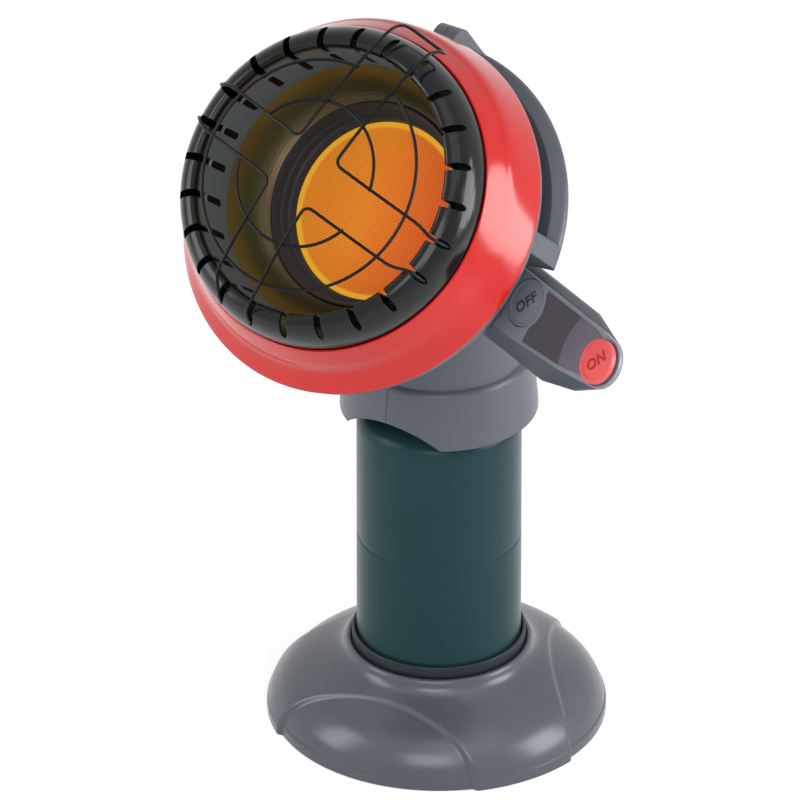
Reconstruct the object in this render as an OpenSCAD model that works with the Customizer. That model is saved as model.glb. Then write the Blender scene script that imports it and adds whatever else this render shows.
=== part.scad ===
// Portable propane heater: a tilted radiant dish on a one-pound gas cylinder in a flared base.
// Millimetres, +Z up. The origin is the centre of the base's underside. The dish faces -Y and up.

/* [Cylinder] */
// Outer radius of the gas cylinder
bottle_r = 49.5; // [45:0.5:55]
// Height of the cylinder's underside above the floor
bottle_z = 25; // [24:1:30]
// Height of the girth seam above the cylinder's underside
seam_h = 99.6; // [90:1:110]
// Height of the straight wall above the cylinder's underside
shoulder_h = 172; // [160:1:176]
// Height of the threaded collar's rim above the cylinder's underside
collar_h = 203; // [200:0.5:206]
// Outer radius of the threaded collar
collar_r = 12.7; // [11:0.1:14]
// Wall of the drawn steel cylinder
bottle_wall = 1; // [0.8:0.1:1.6]

/* [Base] */
// Radius of the base's rim
base_r = 103.6; // [96:0.2:110]
// Height of the rounded collar's lip
base_collar_z = 50; // [46:1:54]
// Wall of the base
base_wall = 4.5; // [3:0.1:5]
// Height that the dark sleeve stands above the collar
sleeve_proud = 7; // [3:0.5:10]
// Wall of the dark sleeve
sleeve_wall = 2.3; // [1.5:0.1:2.5]
// Gap between the sleeve and the cylinder
sleeve_gap = 0.5; // [0.3:0.05:1]
// Distance from the axis to the crease of each crescent facet
facet_reach = 67; // [62:1:80]
// Depth of the crescent facets
facet_depth = 2.6; // [1:0.1:3]
// Thickness of the non-slip pad
pad_t = 2.4; // [1.5:0.1:3]

/* [Head] */
// Tilt of the dish's axis above the horizontal
head_tilt = 39; // [37:0.5:41]
// How far the rim's centre is in front of the cylinder's axis
rim_reach = 112.5; // [110:0.5:116]
// Height of the rim's centre
rim_z = 413; // [410:0.5:418]
// Radius of the seam between the front ring and the shell
rim_r = 99; // [98:0.2:101]
// Depth from the rim to the shell's rear edge
shell_depth = 38.9; // [36:0.1:42]
// How far the shell's rear edge sits below the dish's axis
shell_drop = 3.7; // [2:0.1:5]
// Extra tilt of the shell's rear edge
shell_lean = 5.1; // [3:0.1:6]
// Radius of the shell's rear edge
shell_r = 114.7; // [113:0.1:118]
// Wall of the shell and of the front ring
shell_wall = 2.2; // [1.6:0.1:2.6]
// Wall of the housing halves
housing_wall = 2.6; // [2:0.1:3.2]
// Gap on each side of the seam between the housing halves
seam_gap = 0.15; // [0.05:0.05:0.4]
// Radius of the grip rim behind the shell
grip_r = 113; // [111:0.5:114]
// Width of the carrying handle
handle_w = 15; // [12:1:18]
// Thickness of the carrying handle
handle_t = 11; // [9:0.5:12]

/* [Neck and skirt] */
// Radius of the neck
neck_r = 53; // [51:0.5:56]
// Outer radius of the skirt's lower edge
skirt_r = 59.5; // [58:0.5:63]
// Outer radius of the skirt's shoulder
skirt_top_r = 56.6; // [55:0.2:58]
// Height of the skirt's lower edge
skirt_z = 212; // [206:1:216]
// Height of the skirt's shoulder
skirt_top_z = 250; // [248:0.5:254]
// Height of the notch in the skirt's front
notch_h = 13.6; // [8:0.2:16]
// Half width of the notch in the skirt's front
notch_half = 33; // [26:1:36]

/* [Front ring] */
// Number of slots round the front ring
slot_count = 24; // [20:1:28]
// Angle of the first slot round the dish's axis
slot_turn = -8.5; // [-15:0.5:0]
// Width of each slot
slot_w = 4.4; // [3:0.1:5]
// Radius at which the slots end outside
slot_out_r = 94.5; // [88:0.5:95]
// Height of the ring's crest in front of the rim
crest_h = 24; // [22:0.2:26]
// Radius of the ring's crest
crest_r = 84.5; // [83.5:0.1:86]
// Radius of the ring's inner wall at its rear
throat_r = 78.8; // [77:0.1:80]
// Depth of the ring's inner wall behind the rim
throat_depth = 16.5; // [14:0.5:18]

/* [Wire guard] */
// Radius of the guard's wire
wire_r = 1.05; // [0.8:0.05:1.4]
// Height of the guard's middle in front of the rim
guard_h = 47; // [42:0.5:50]
// How far the guard falls from its middle to its outer arc
guard_drop = 9; // [6:0.5:12]
// Distance from the axis to each bent wire's corner
corner_reach = 21; // [17:1:25]
// Bend radius at each corner
corner_bend = 6; // [4:0.5:8]
// Radius of the inner ring of arcs
guard_in_r = 44.5; // [40:0.5:50]
// Radius of the outer arc
guard_out_r = 69.6; // [66:0.2:73]
// Angle of the first bent wire
guard_turn = 28.5; // [26:0.5:31]

/* [Burner] */
// Radius of the ceramic tile
tile_r = 55.2; // [54.6:0.1:56]
// Thickness of the ceramic tile
tile_t = 12.7; // [10:0.5:14]
// Depth of the tile's face behind the rim
tile_depth = 60; // [58:0.5:62]
// Radius of the reflector's throat
reflector_in_r = 62; // [61.9:0.1:63]
// Depth of the reflector's throat behind the rim
reflector_depth = 42.6; // [40:0.5:44]
// Length of the burner's plenum
plenum_l = 34; // [28:1:36]
// Bore radius of the mixer tube
mixer_r = 9; // [8:0.5:10]
// Length of the mixer tube
mixer_l = 34; // [30:1:36]

/* [Control arm] */
// Angle by which the arm swings forward
arm_swing = 24.8; // [22:0.2:28]
// Height of the OFF button's centre
panel_z = 340.6; // [336:0.2:344]
// How far the OFF button stands in front of the arm's centre plane
panel_offset = 12.2; // [10:0.2:14]
// Distance along the arm from the cylinder's axis to the OFF button
off_reach = 114.5; // [112:0.5:118]
// Rise of the panel's normal above the horizontal
panel_rise = 33.4; // [30:0.2:37]
// Distance between the two buttons
button_gap = 82.8; // [80:0.2:86]
// Wall of the arm
arm_wall = 2.5; // [2:0.1:3]
// Thickness of the control panel
panel_t = 2.6; // [2:0.1:3]

/* [Buttons] */
// Radius of the OFF button
off_r = 14.5; // [13:0.1:15]
// Radius of the ON button
on_r = 13.6; // [12:0.1:13.8]
// Height of the ON button above the panel
on_proud = 4.6; // [4:0.1:6]
// Travel of the ON button
on_travel = 2.7; // [1.5:0.1:2.8]
// Travel of the OFF button
off_travel = 3; // [2:0.5:3]
// Radius of the buttons' stems
stem_r = 4; // [3:0.1:4.5]
// Running clearance round the stems
stem_fit = 0.06; // [0.03:0.01:0.1]

/* [Hidden] */
$fn = 96;

GREY = [0.34, 0.36, 0.40];
DARK = [0.17, 0.18, 0.20];
GREEN = [0.13, 0.30, 0.30];
RED = [0.84, 0.15, 0.13];
BLACK = [0.10, 0.11, 0.12];
STEEL = [0.72, 0.73, 0.75];
BRASS = [0.76, 0.62, 0.30];
CERAMIC = [0.93, 0.50, 0.15];
WHITE = [0.88, 0.87, 0.84];

eps = 0.01;                 // overrun of a cut past a face
touch = 0.05;               // gap between pieces that rest on each other
clear = 0.3;                // gap between pieces that move apart
socket_fit = 0.06;          // radial clearance of the collar in the regulator's socket
big = 600;                  // size of a cutting block

// ---------- points and paths ----------

function arc_pts(cx, cy, r, a0, a1, n) =
    [for (i = [0 : n]) let (a = a0 + (a1 - a0) * i / n) [cx + r * cos(a), cy + r * sin(a)]];

function bez(p, q, r, s, n) =
    [for (i = [0 : n]) let (t = i / n, u = 1 - t)
        u * u * u * p + 3 * u * u * t * q + 3 * u * t * t * r + t * t * t * s];

function unit(v) = v / norm(v);

// A point at radius r, angle a and height z
function polar(r, a, z) = [r * cos(a), r * sin(a), z];

// The path with each inner corner rounded over a length k on both sides
function rounded(path, k) = concat([path[0]],
    [for (i = [1 : len(path) - 2])
        let (a = path[i - 1] - path[i], b = path[i + 1] - path[i], m = min(k, norm(a) / 2.1, norm(b) / 2.1),
             p = path[i] + unit(a) * m, q = path[i] + unit(b) * m)
        for (j = [0 : 4]) let (t = j / 4)
            (1 - t) * (1 - t) * p + 2 * t * (1 - t) * path[i] + t * t * q],
    [path[len(path) - 1]]);

// One side vector for each point of a path, carried along without twist
function sides_of(path, i, side) = i == len(path) ? [] :
    let (t = path_dir(path, i), n = unit(side - (side * t) * t)) concat([n], sides_of(path, i + 1, n));

function path_dir(path, i) = unit(path[min(i + 1, len(path) - 1)] - path[max(i - 1, 0)]);

// A round wire that follows a path
module wire(path, r, edges) {
    start = cross(path_dir(path, 0), [0.31, 0.17, 1]);
    side = sides_of(path, 0, start);
    last = len(path) - 1;
    skin = [for (i = [0 : last]) for (j = [0 : edges - 1])
        let (a = j * 360 / edges, t = path_dir(path, i))
        path[i] + r * (cos(a) * side[i] + sin(a) * cross(t, side[i]))];
    walls = [for (i = [0 : last - 1]) for (j = [0 : edges - 1])
        let (k = (j + 1) % edges)
        [i * edges + j, (i + 1) * edges + j, (i + 1) * edges + k, i * edges + k]];
    ends = [[for (j = [0 : edges - 1]) j], [for (j = [edges - 1 : -1 : 0]) last * edges + j]];
    polyhedron(points = skin, faces = concat(walls, ends));
}

// The path moved to its left by d
function beside(path, d) =
    [for (i = [0 : len(path) - 1])
        let (a = path[max(i - 1, 0)],
             b = path[min(i + 1, len(path) - 1)],
             t = unit(b - a))
        path[i] + d * [-t[1], t[0]]];

function reversed(path) = [for (i = [len(path) - 1 : -1 : 0]) path[i]];

// A strip of even thickness along a path, closed into an outline
function strip(path, d) = concat(path, reversed(beside(path, d)));

// ---------- frames ----------

// z forward along the dish's axis, y up, origin at the rim's centre
module head_frame() {
    translate([0, -rim_reach, rim_z]) rotate([90 - head_tilt, 0, 0]) children();
}

// The shell's rear edge, from which the housing's dome is measured
module rear_frame() {
    head_frame() translate([0, -shell_drop, -shell_depth]) rotate([-shell_lean, 0, 0]) children();
}

// x along the arm, y back, z up
module arm_frame() {
    translate([0, 0, panel_z]) rotate([0, 0, -arm_swing]) children();
}

// z out of the control panel, x along the arm, origin at the OFF button
module panel_frame() {
    arm_frame() translate([off_reach, -panel_offset, 0]) rotate([90 - panel_rise, 0, 0]) children();
}

function from_head(p) = [
    p[0],
    -rim_reach + p[1] * sin(head_tilt) - p[2] * cos(head_tilt),
    rim_z + p[1] * cos(head_tilt) + p[2] * sin(head_tilt)
];

function from_arm(p) = [
    p[0] * cos(arm_swing) + p[1] * sin(arm_swing),
    -p[0] * sin(arm_swing) + p[1] * cos(arm_swing),
    panel_z + p[2]
];

function from_panel(p) = from_arm([
    off_reach + p[0],
    -panel_offset + p[1] * sin(panel_rise) - p[2] * cos(panel_rise),
    p[1] * cos(panel_rise) + p[2] * sin(panel_rise)
]);

// ---------- general shapes ----------

module tube_ring(ro, ri, z0, z1) {
    translate([0, 0, z0]) difference() {
        cylinder(r = ro, h = z1 - z0);
        translate([0, 0, -1]) cylinder(r = ri, h = z1 - z0 + 2);
    }
}

// A straight round rod between two points
module rod(a, b, r) {
    v = b - a;
    l = norm(v);
    translate(a)
        rotate([0, acos(v[2] / l), atan2(v[1], v[0])])
            cylinder(r = r, h = l, $fn = 24);
}

// A round tube or wire that follows a list of points, with ball joints at the bends
module run(points, r) {
    for (i = [0 : len(points) - 2]) rod(points[i], points[i + 1], r);
    for (i = [1 : len(points) - 2]) translate(points[i]) sphere(r = r * 1.06, $fn = 24);
}

// ---------- base ----------

sleeve_in_r = bottle_r + sleeve_gap;
sleeve_out_r = sleeve_in_r + sleeve_wall;
socket_r = sleeve_out_r + touch;
sleeve_floor_z = bottle_z - clear;
bell_floor_z = sleeve_floor_z - sleeve_wall - touch;
lip_r = 2;                  // rounding of the collar's lip
base_curve = bez([socket_r + 4.2, base_collar_z - 3], [socket_r + 7.7, base_collar_z - 16],
                 [base_r - 9.4, base_collar_z - 12], [base_r - 0.9, 8], 22);
rim_curve = arc_pts(base_r - 5, 5, 5, 35, 0, 5);

module bell_shell() {
    outer = concat(base_curve, rim_curve, [[base_r, 0.6]]);
    lip = concat([[socket_r, base_collar_z - lip_r]],
                 arc_pts(socket_r + lip_r, base_collar_z - lip_r, lip_r, 180, 40, 6));
    inner = beside(outer, -base_wall);
    rotate_extrude() polygon(concat(lip, outer, [[base_r - base_wall, 0.6]],
                                    reversed([for (p = inner) if (p[1] > 4) p]),
                                    [[socket_r, base_collar_z - 14]]));
}

// The space above the crescent facets
module facet_space() {
    last = len(base_curve) - 1;
    floor_path = [for (i = [0 : last]) beside(base_curve, -facet_depth * (0.3 + 0.7 * i / last))[i]];
    rotate_extrude() polygon(concat(floor_path, [[base_r - facet_depth, 6],
                                                 [base_r - facet_depth, -1],
                                                 [base_r + 12, -1],
                                                 [base_r + 12, base_collar_z],
                                                 [socket_r + 6, base_collar_z]]));
}

facet_bow = 204;            // radius of each facet's crease, seen from above
facet_turn = 4.5;           // turn of the facets round the axis

module base_bell() {
    ribs = 6;
    color(GREY) difference() {
        union() {
            bell_shell();
            tube_ring(socket_r + base_wall, socket_r, pad_t + touch, base_collar_z - 12);
            tube_ring(socket_r + 1, bottle_r * 0.4, bell_floor_z - base_wall, bell_floor_z);
            for (i = [0 : ribs - 1]) rotate([0, 0, i * 360 / ribs + 30])
                translate([socket_r + 1, -1.25, pad_t + touch])
                    cube([base_r - base_wall - socket_r, 2.5, 11]);
        }
        for (i = [0 : 2]) rotate([0, 0, i * 120 + facet_turn]) intersection() {
            facet_space();
            translate([0, -facet_bow - facet_reach, -1]) cylinder(r = facet_bow, h = base_collar_z, $fn = 360);
        }
    }
}

module base_sleeve() {
    color(DARK) difference() {
        union() {
            tube_ring(sleeve_out_r, sleeve_in_r, bell_floor_z + touch, base_collar_z + sleeve_proud);
            tube_ring(sleeve_in_r + 1, bottle_r * 0.4, bell_floor_z + touch, sleeve_floor_z);
        }
        // softened upper edge
        translate([0, 0, base_collar_z + sleeve_proud - 1])
            cylinder(r1 = sleeve_in_r, r2 = sleeve_in_r + 1, h = 1 + eps);
    }
}

module base_pad() {
    color(BLACK) cylinder(r = base_r - base_wall - touch, h = pad_t);
}

// ---------- gas cylinder ----------

knuckle_r = 8;              // rounding of the cylinder's lower edge
crown_r = 22;               // rounding of the cylinder's shoulder
neck_land = collar_r + 4;   // radius at which the shoulder meets the collar's boss
collar_z = bottle_z + collar_h;
crown_top = [neck_land, bottle_z + collar_h - 16];

module bottle_lower() {
    outer = concat([[0, bottle_z + 7], [18, bottle_z + 6], [bottle_r - 18, bottle_z + 2]],
                   arc_pts(bottle_r - knuckle_r, bottle_z + knuckle_r, knuckle_r, -100, 0, 8),
                   [[bottle_r, bottle_z + seam_h]]);
    color(GREEN) rotate_extrude()
        polygon(concat(outer, reversed([for (p = beside(outer, bottle_wall)) [max(p[0], 0), p[1]]])));
}

module bottle_upper() {
    outer = concat([[bottle_r, bottle_z + seam_h + touch], [bottle_r, bottle_z + shoulder_h]],
                   bez([bottle_r, bottle_z + shoulder_h + 0.5],
                       [bottle_r, bottle_z + shoulder_h + crown_r * 0.65],
                       [bottle_r - 12, crown_top[1] - 3], crown_top, 12));
    color(GREEN) difference() {
        rotate_extrude() polygon(strip(outer, bottle_wall));
        translate([relief_at[0], relief_at[1], crown_top[1] - 8]) cylinder(r = 3 + touch, h = 12);
    }
}

relief_at = [28, 0];        // place of the relief valve on the shoulder

module bottle_collar() {
    color(GREEN) difference() {
        union() {
            translate([0, 0, crown_top[1] - 2]) cylinder(r = neck_land - 0.55, h = 3.6);
            translate([0, 0, crown_top[1] + touch]) cylinder(r = neck_land + 1.5, h = 2.5);
            translate([0, 0, crown_top[1]]) cylinder(r = collar_r, h = collar_z - crown_top[1]);
        }
        translate([0, 0, crown_top[1] - 7]) cylinder(r = 4.6, h = 44);
    }
}

module bottle_valve() {
    color(BRASS) {
        translate([0, 0, crown_top[1] - 6]) cylinder(r = 4.5, h = collar_h - crown_top[1] + bottle_z + 2);
        translate([0, 0, collar_z - 4.5]) cylinder(r = 1.6, h = 2);
    }
}

module bottle_relief() {
    color(BRASS) translate([relief_at[0], relief_at[1], crown_top[1]]) {
        translate([0, 0, -4]) cylinder(r = 3, h = 5);
        translate([0, 0, -0.2]) cylinder(r = 4.2, h = 2.6, $fn = 6);
        translate([0, 0, 1]) cylinder(r = 2.2, h = 3.6, $fn = 32);
    }
}

// ---------- regulator ----------

socket_wall = 4;
seal_t = 2.4;
seal_z = collar_z + clear;
socket_top_z = seal_z + seal_t + clear;
deck_z = skirt_top_z;       // upper face of the deck that carries the regulator
deck_t = 3.5;
reg_r = 21;
reg_h = 22;

module inlet_seal() {
    color(BLACK) tube_ring(collar_r - 1, 4.8, seal_z, seal_z + seal_t);
}

module regulator_body() {
    bore_r = collar_r + socket_fit;
    color(STEEL) difference() {
        union() {
            translate([0, 0, collar_z - 12]) cylinder(r = bore_r + socket_wall, h = deck_z - collar_z + 13);
            translate([0, 0, deck_z + touch]) cylinder(r = reg_r + 5, h = 3.5);
            translate([0, 0, deck_z + touch]) cylinder(r = reg_r, h = reg_h);
            translate(outlet_at) rotate([0, 90, -arm_swing]) translate([0, 0, -6]) cylinder(r = 6, h = 12);
        }
        translate([0, 0, collar_z - 13]) cylinder(r = bore_r, h = socket_top_z - collar_z + 13);
        translate([0, 0, socket_top_z - 1]) cylinder(r = 1.55, h = 20);
        for (a = regulator_bolts) rotate([0, 0, a]) translate([reg_r + 2.6, 0, deck_z - 1])
            cylinder(r = 1.6, h = 8, $fn = 32);
        translate(outlet_at) rotate([0, 90, -arm_swing]) cylinder(r = tube_r + touch, h = 12, $fn = 32);
    }
}

regulator_bolts = [60, 180, 300];
tube_r = 2.4;
outlet_at = [(reg_r - 2) * cos(arm_swing), -(reg_r - 2) * sin(arm_swing), deck_z + 12];

module regulator_cap() {
    top = deck_z + touch + reg_h;
    color(STEEL) rotate_extrude() polygon(concat(
        [[0, top + touch], [reg_r + 1, top + touch], [reg_r + 1, top + 2]],
        bez([reg_r - 1, top + 3], [reg_r - 6, top + 3.5], [12, top + 9], [6, top + 9], 6),
        [[0, top + 9]]));
}

module depress_pin() {
    color(BRASS) {
        translate([0, 0, collar_z - 2.2]) cylinder(r = 1.4, h = 22, $fn = 32);
        translate([0, 0, socket_top_z - 2 * clear - seal_t + 0.4]) cylinder(r = 2.6, h = 1.6, $fn = 32);
    }
}

module regulator_screws() {
    color(STEEL) for (a = regulator_bolts) rotate([0, 0, a]) translate([reg_r + 2.6, 0, 0]) {
        translate([0, 0, deck_z - 8]) cylinder(r = 1.5, h = 12, $fn = 32);
        translate([0, 0, deck_z + 3.6]) cylinder(r = 2.3, h = 2, $fn = 32);
    }
}

// ---------- housing ----------

dome_depth = 110;
dome_curve = concat([[shell_r - 6.7, -7]],
                    bez([shell_r - 26.7, -52], [shell_r - 36.7, -75], [60, -dome_depth + 2],
                        [0, -dome_depth], 16));
flange_r = shell_r - 1.5;
grip_z = -41;
grip_rise = 6;              // how far the grip rim's centre is above the dome's axis

module dome_outer() {
    rear_frame() {
        rotate_extrude() polygon(concat([[0, -clear]], [[flange_r, -clear], [flange_r, -5.5]], dome_curve));
        translate([0, grip_rise, 0]) {
            rotate([0, 0, 7]) rotate_extrude(angle = 166) polygon(grip_section);
            for (a = [1, 172]) rotate([0, 0, a]) rotate_extrude(angle = 7) polygon([
                [82, -8], [flange_r - 4, -8], [grip_r, grip_z], [grip_r - 3, grip_z - 5], [80, grip_z - 14]]);
        }
    }
}

grip_section = concat(
    [[79, grip_z + 2], [grip_r - 8, grip_z + 7]],
    arc_pts(grip_r - 4, grip_z + 1, 4, 80, -50, 6),
    [[grip_r - 14, grip_z - 12], [78, grip_z - 16]]);

// The space that the dome takes, for pieces that fit against it
module dome_space() {
    rear_frame() rotate_extrude() polygon(concat(
        [[0, 30], [shell_r + 1, 30], [shell_r + 1, -6]], beside(dome_curve, arm_fit), [[0, -dome_depth - arm_fit]]));
}

module dome_cavity() {
    inner = beside(dome_curve, -housing_wall);
    rear_frame() rotate_extrude() polygon(concat(
        [[0, 4], [flange_r - 6, 4], [flange_r - 6, -6]],
        [for (p = inner) if (p[0] >= 0 && p[1] < -8) p], [[0, -dome_depth + housing_wall]]));
}

neck_top_z = 300;           // centre of the ball that closes the neck

module neck_outer() {
    translate([0, 0, skirt_top_z - 2]) cylinder(r = neck_r, h = neck_top_z - skirt_top_z + 2);
    translate([0, 0, neck_top_z]) sphere(r = neck_r);
    rotate_extrude() polygon(concat(
        [[30, skirt_z], [skirt_r, skirt_z], [skirt_r - 0.3, skirt_z + 6], [skirt_top_r, skirt_top_z - 5]],
        arc_pts(skirt_top_r - 4, skirt_top_z - 4, 4, 15, 90, 5),
        [[30, skirt_top_z]]));
}

module neck_cavity() {
    translate([0, 0, deck_z]) cylinder(r = neck_r - housing_wall, h = neck_top_z - deck_z);
    translate([0, 0, neck_top_z]) sphere(r = neck_r - housing_wall);
}

module skirt_cavity() {
    translate([0, 0, skirt_z - 1])
        cylinder(r1 = skirt_r - housing_wall, r2 = skirt_top_r - housing_wall - 0.6,
                 h = deck_z - deck_t - skirt_z + 1);
    translate([0, 0, skirt_z]) cylinder(r = collar_r + socket_fit + socket_wall + touch, h = 60);
    for (a = regulator_bolts) rotate([0, 0, a]) translate([reg_r + 2.6, 0, deck_z - 9])
        cylinder(r = 1.55, h = 12, $fn = 32);
    notch_r = (notch_half * notch_half + notch_h * notch_h) / (2 * notch_h);
    translate([0, 0, skirt_z + notch_h - notch_r]) rotate([90, 0, 0]) cylinder(r = notch_r, h = skirt_r + 5);
}

// Outer and inner edges of the closed carrying handle behind the head, as [y, z]
handle_peak = [13, 464.2];
handle_back = [64, 362];
handle_outer = concat([[-7, 438], [-1, 452.5]],
                      bez([1, 457.2], [4, handle_peak[1]], [15, handle_peak[1] + 3], [21.3, 456.4], 6),
                      bez([30.5, 444.2], [58, 412], [handle_back[0] + 3, 385], [61.5, 345], 10),
                      [[55.2, 318], [47.2, 296]]);
handle_inner = [for (p = concat([[3.2, 434], [9, 447.8], [10.8, 450.6], [12.7, 449.6]],
                                bez([21.5, 437.8], [48, 407], [handle_back[0] - 8, 385], [50.5, 347], 10),
                                [[44.8, 322], [36.8, 300]])) p + [11 - handle_t, 11 - handle_t] / 2];

module handle() {
    translate([-handle_w / 2, 0, 0]) rotate([90, 0, 90]) linear_extrude(height = handle_w)
        polygon(concat(handle_outer, reversed(handle_inner)));
}

module vents() {
    for (i = [-3 : 3]) if (i != 0)
        translate([i * 7 - 1.5 - 1.5 * sign(i), neck_r - 22, 271]) cube([3, 30, 22]);
}

// Screws that draw the halves together, as [y, z, reach of the head from the seam]
housing_bolts = [[38, 262, 14], [-38, 262, 14], [30, 332, 14], [50.5, 404, 4]];

module screw_towers() {
    for (b = housing_bolts) if (b[2] > 10)
        translate([-44, b[0], b[1]]) rotate([0, 90, 0]) cylinder(r = 5.4, h = 88, $fn = 48);
}

module screw_holes() {
    for (b = housing_bolts) translate([0, b[0], b[1]]) rotate([0, 90, 0]) {
        translate([0, 0, -20]) cylinder(r = 1.65, h = 26, $fn = 32);
        translate([0, 0, -80]) cylinder(r = 3.3, h = 80 - b[2], $fn = 32);
    }
}

module housing_screws() {
    color(STEEL) for (b = housing_bolts) translate([0, b[0], b[1]]) rotate([0, 90, 0]) {
        translate([0, 0, -b[2] - 1]) cylinder(r = 1.6, h = b[2] + 6, $fn = 32);
        translate([0, 0, -b[2] - 2.2]) cylinder(r = 3, h = 2.2 - touch, $fn = 32);
    }
}

module housing_body() {
    dome_outer();
    neck_outer();
    handle();
}

module housing_left() {
    color(GREY) difference() {
        intersection() {
            union() {
                difference() {
                    housing_body();
                    dome_cavity();
                    neck_cavity();
                }
                intersection() {
                    screw_towers();
                    neck_outer_core();
                }
            }
            translate([-big - seam_gap, -big / 2, 0]) cube([big, big, big]);
        }
        skirt_cavity();
        vents();
        screw_holes();
    }
}

module neck_outer_core() {
    translate([0, 0, skirt_top_z - 2]) cylinder(r = neck_r - 0.8, h = neck_top_z - skirt_top_z + 2);
    translate([0, 0, neck_top_z]) sphere(r = neck_r - 0.8);
}

module housing_right() {
    color(GREY) difference() {
        intersection() {
            union() {
                difference() {
                    housing_body();
                    dome_cavity();
                    neck_cavity();
                }
                intersection() {
                    screw_towers();
                    neck_outer_core();
                }
            }
            translate([seam_gap, -big / 2, 0]) cube([big, big, big]);
        }
        skirt_cavity();
        vents();
        screw_holes();
        // passage for the pipes and the leads
        arm_frame() translate([20, -1, -22]) rotate([0, 90, 0]) cylinder(r = 16, h = 80);
        // room for the control panel and the OFF button
        panel_frame() translate([0, 0, -panel_t - clear]) linear_extrude(height = 30) panel_outline(clear);
        panel_frame() translate([0, 0, off_floor]) cylinder(r = off_r + 0.7, h = 30);
    }
}

// ---------- control arm ----------

// Corners of the arm's section near the housing and midway, as [y back, z up, radius]
arm_root = [[-20.8, -19.5, 2], [-2.4, 10, 1.8], [4.6, 8.2, 4], [12, -12, 10], [3, -38, 8], [-4, -43, 7]];
arm_middle = [[-19.2, -17.4, 2], [-2.4, 10, 1.8], [4.6, 8.2, 4], [9, -12, 9], [2, -28, 7], [-7, -31, 6]];
// Discs that shape the arm's end, as [x, y, z, radius] in the panel's frame
nose_r = 15.3;
arm_nose = [[button_gap, -0.3, -panel_t - touch - 0.4, nose_r], [76, -0.3, -10, 12.5], [55, -3, -30, 9]];
panel_top = 15.9;           // upper edge of the panel and of the arm's front
panel_low = -22.9;          // lower edge of the panel at its root
panel_mid = [50, -19.9];    // a point of the panel's lower edge
panel_root = -17;
off_floor = -9.6;           // depth of the room for the OFF button

module arm_slice(x, section, k) {
    translate([x, 0, 0]) rotate([90, 0, 90]) linear_extrude(height = 0.4) hull()
        for (c = section) {
            r = max(c[2] - k, 0.4);
            toward = unit([-2, -17] - [c[0], c[1]]) * max(k + 0.4 - c[2], 0) * 1.3;
            translate([c[0], c[1]] + toward) circle(r = r, $fn = 32);
        }
}

// The arm's solid shape, drawn in by k
module arm_block(k) {
    hull() {
        arm_frame() {
            arm_slice(20, arm_root, k);
            arm_slice(off_reach + 12, arm_root, k);
            arm_slice(off_reach + 50, arm_middle, k);
        }
        panel_frame() for (c = arm_nose)
            translate([c[0], c[1], min(c[2] + k, -panel_t - touch - 0.4 - k / 2)])
                cylinder(r = c[3] - k, h = 0.4, $fn = 48);
    }
}

module panel_outline(grow) {
    polygon(concat(
        [[panel_root - grow, panel_top + grow], [panel_root - grow, panel_low - grow], [0, panel_low - grow],
         [panel_mid[0], panel_mid[1] - grow]],
        arc_pts(button_gap, -0.3, nose_r + grow, -82, 82, 20),
        [[74, panel_top + grow]]));
}

module arm_shell() {
    color(GREY) difference() {
        arm_block(0);
        arm_block(arm_wall);
        dome_space();
        translate([0, 0, skirt_top_z - 2]) cylinder(r = neck_r + arm_fit, h = neck_top_z - skirt_top_z + 2);
        translate([0, 0, neck_top_z]) sphere(r = neck_r + arm_fit);
        panel_frame() {
            // seat of the panel and the mouth below it
            translate([0, 0, -panel_t - touch]) linear_extrude(height = 30) panel_outline(1);
            translate([0, 0, -panel_t - arm_wall - 1]) linear_extrude(height = 30)
                polygon([[-14, panel_top - arm_wall], [-14, panel_low + arm_wall], [0, panel_low + arm_wall],
                         [panel_mid[0], panel_mid[1] + arm_wall], [74, -12], [74, 12.5], [66, panel_top - arm_wall]]);
            translate([78, -0.3, -8]) cylinder(r = 10.5, h = 20);
            translate([0, 0, off_floor]) cylinder(r = off_r + 0.6, h = 30);
        }
    }
}

arm_fit = 0.2;              // gap between the arm and the faces that it is moulded to

post_spots = [[15, -17], [15, 10.5], [46, -15], [46, 10.5]];
guide_z = -12;              // upper face of the button guide, below the panel
guide_t = 2;

on_y = -0.3;
label_t = 0.5;
hub_at = [78, -0.3];        // the ON button's hub, off its centre
valve_at = [57, -3];        // the valve's axis in the panel's frame

module label_shape(grow) {
    difference() {
        polygon([[13, panel_low + 3 - grow], [50, panel_mid[1] + 2.5 - grow], [74, -13.5 - grow],
                 [74, 12.5 + grow], [66, 14 + grow], [13, 14 + grow]]);
        circle(r = off_r + 2.2 - grow);
        translate([button_gap, on_y]) circle(r = on_r + 2 - grow);
    }
}

module control_panel() {
    color(GREY) panel_frame() difference() {
        union() {
            translate([0, 0, -panel_t]) linear_extrude(height = panel_t) panel_outline(0);
            translate([hub_at[0], hub_at[1], -4.6]) cylinder(r = 9, h = 3);
            for (p = post_spots) translate([p[0], p[1], guide_z + touch])
                cylinder(r = 2.6, h = -guide_z - touch - 1, $fn = 32);
        }
        translate([0, 0, -panel_t - 1]) cylinder(r = off_r + 0.5, h = panel_t + 2);
        // shallow seat that takes the pressed ON button, and the hole for its hub
        translate([button_gap, on_y, -1.8]) cylinder(r = on_r + 0.5, h = 3);
        translate([hub_at[0], hub_at[1], -6]) cylinder(r = 6.5, h = 8);
        translate([0, 0, -label_t]) linear_extrude(height = 1) label_shape(touch);
        for (p = post_spots) translate([p[0], p[1], guide_z - 1]) cylinder(r = 1.1, h = 8, $fn = 24);
    }
}

module label_plate() {
    color(DARK) panel_frame() translate([0, 0, -label_t + 0.02])
        linear_extrude(height = label_t) label_shape(0);
}

on_bush = 4.2;              // length of the ON stem's bush below the guide's face
off_bush = 6;               // length of the OFF stem's bush

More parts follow.
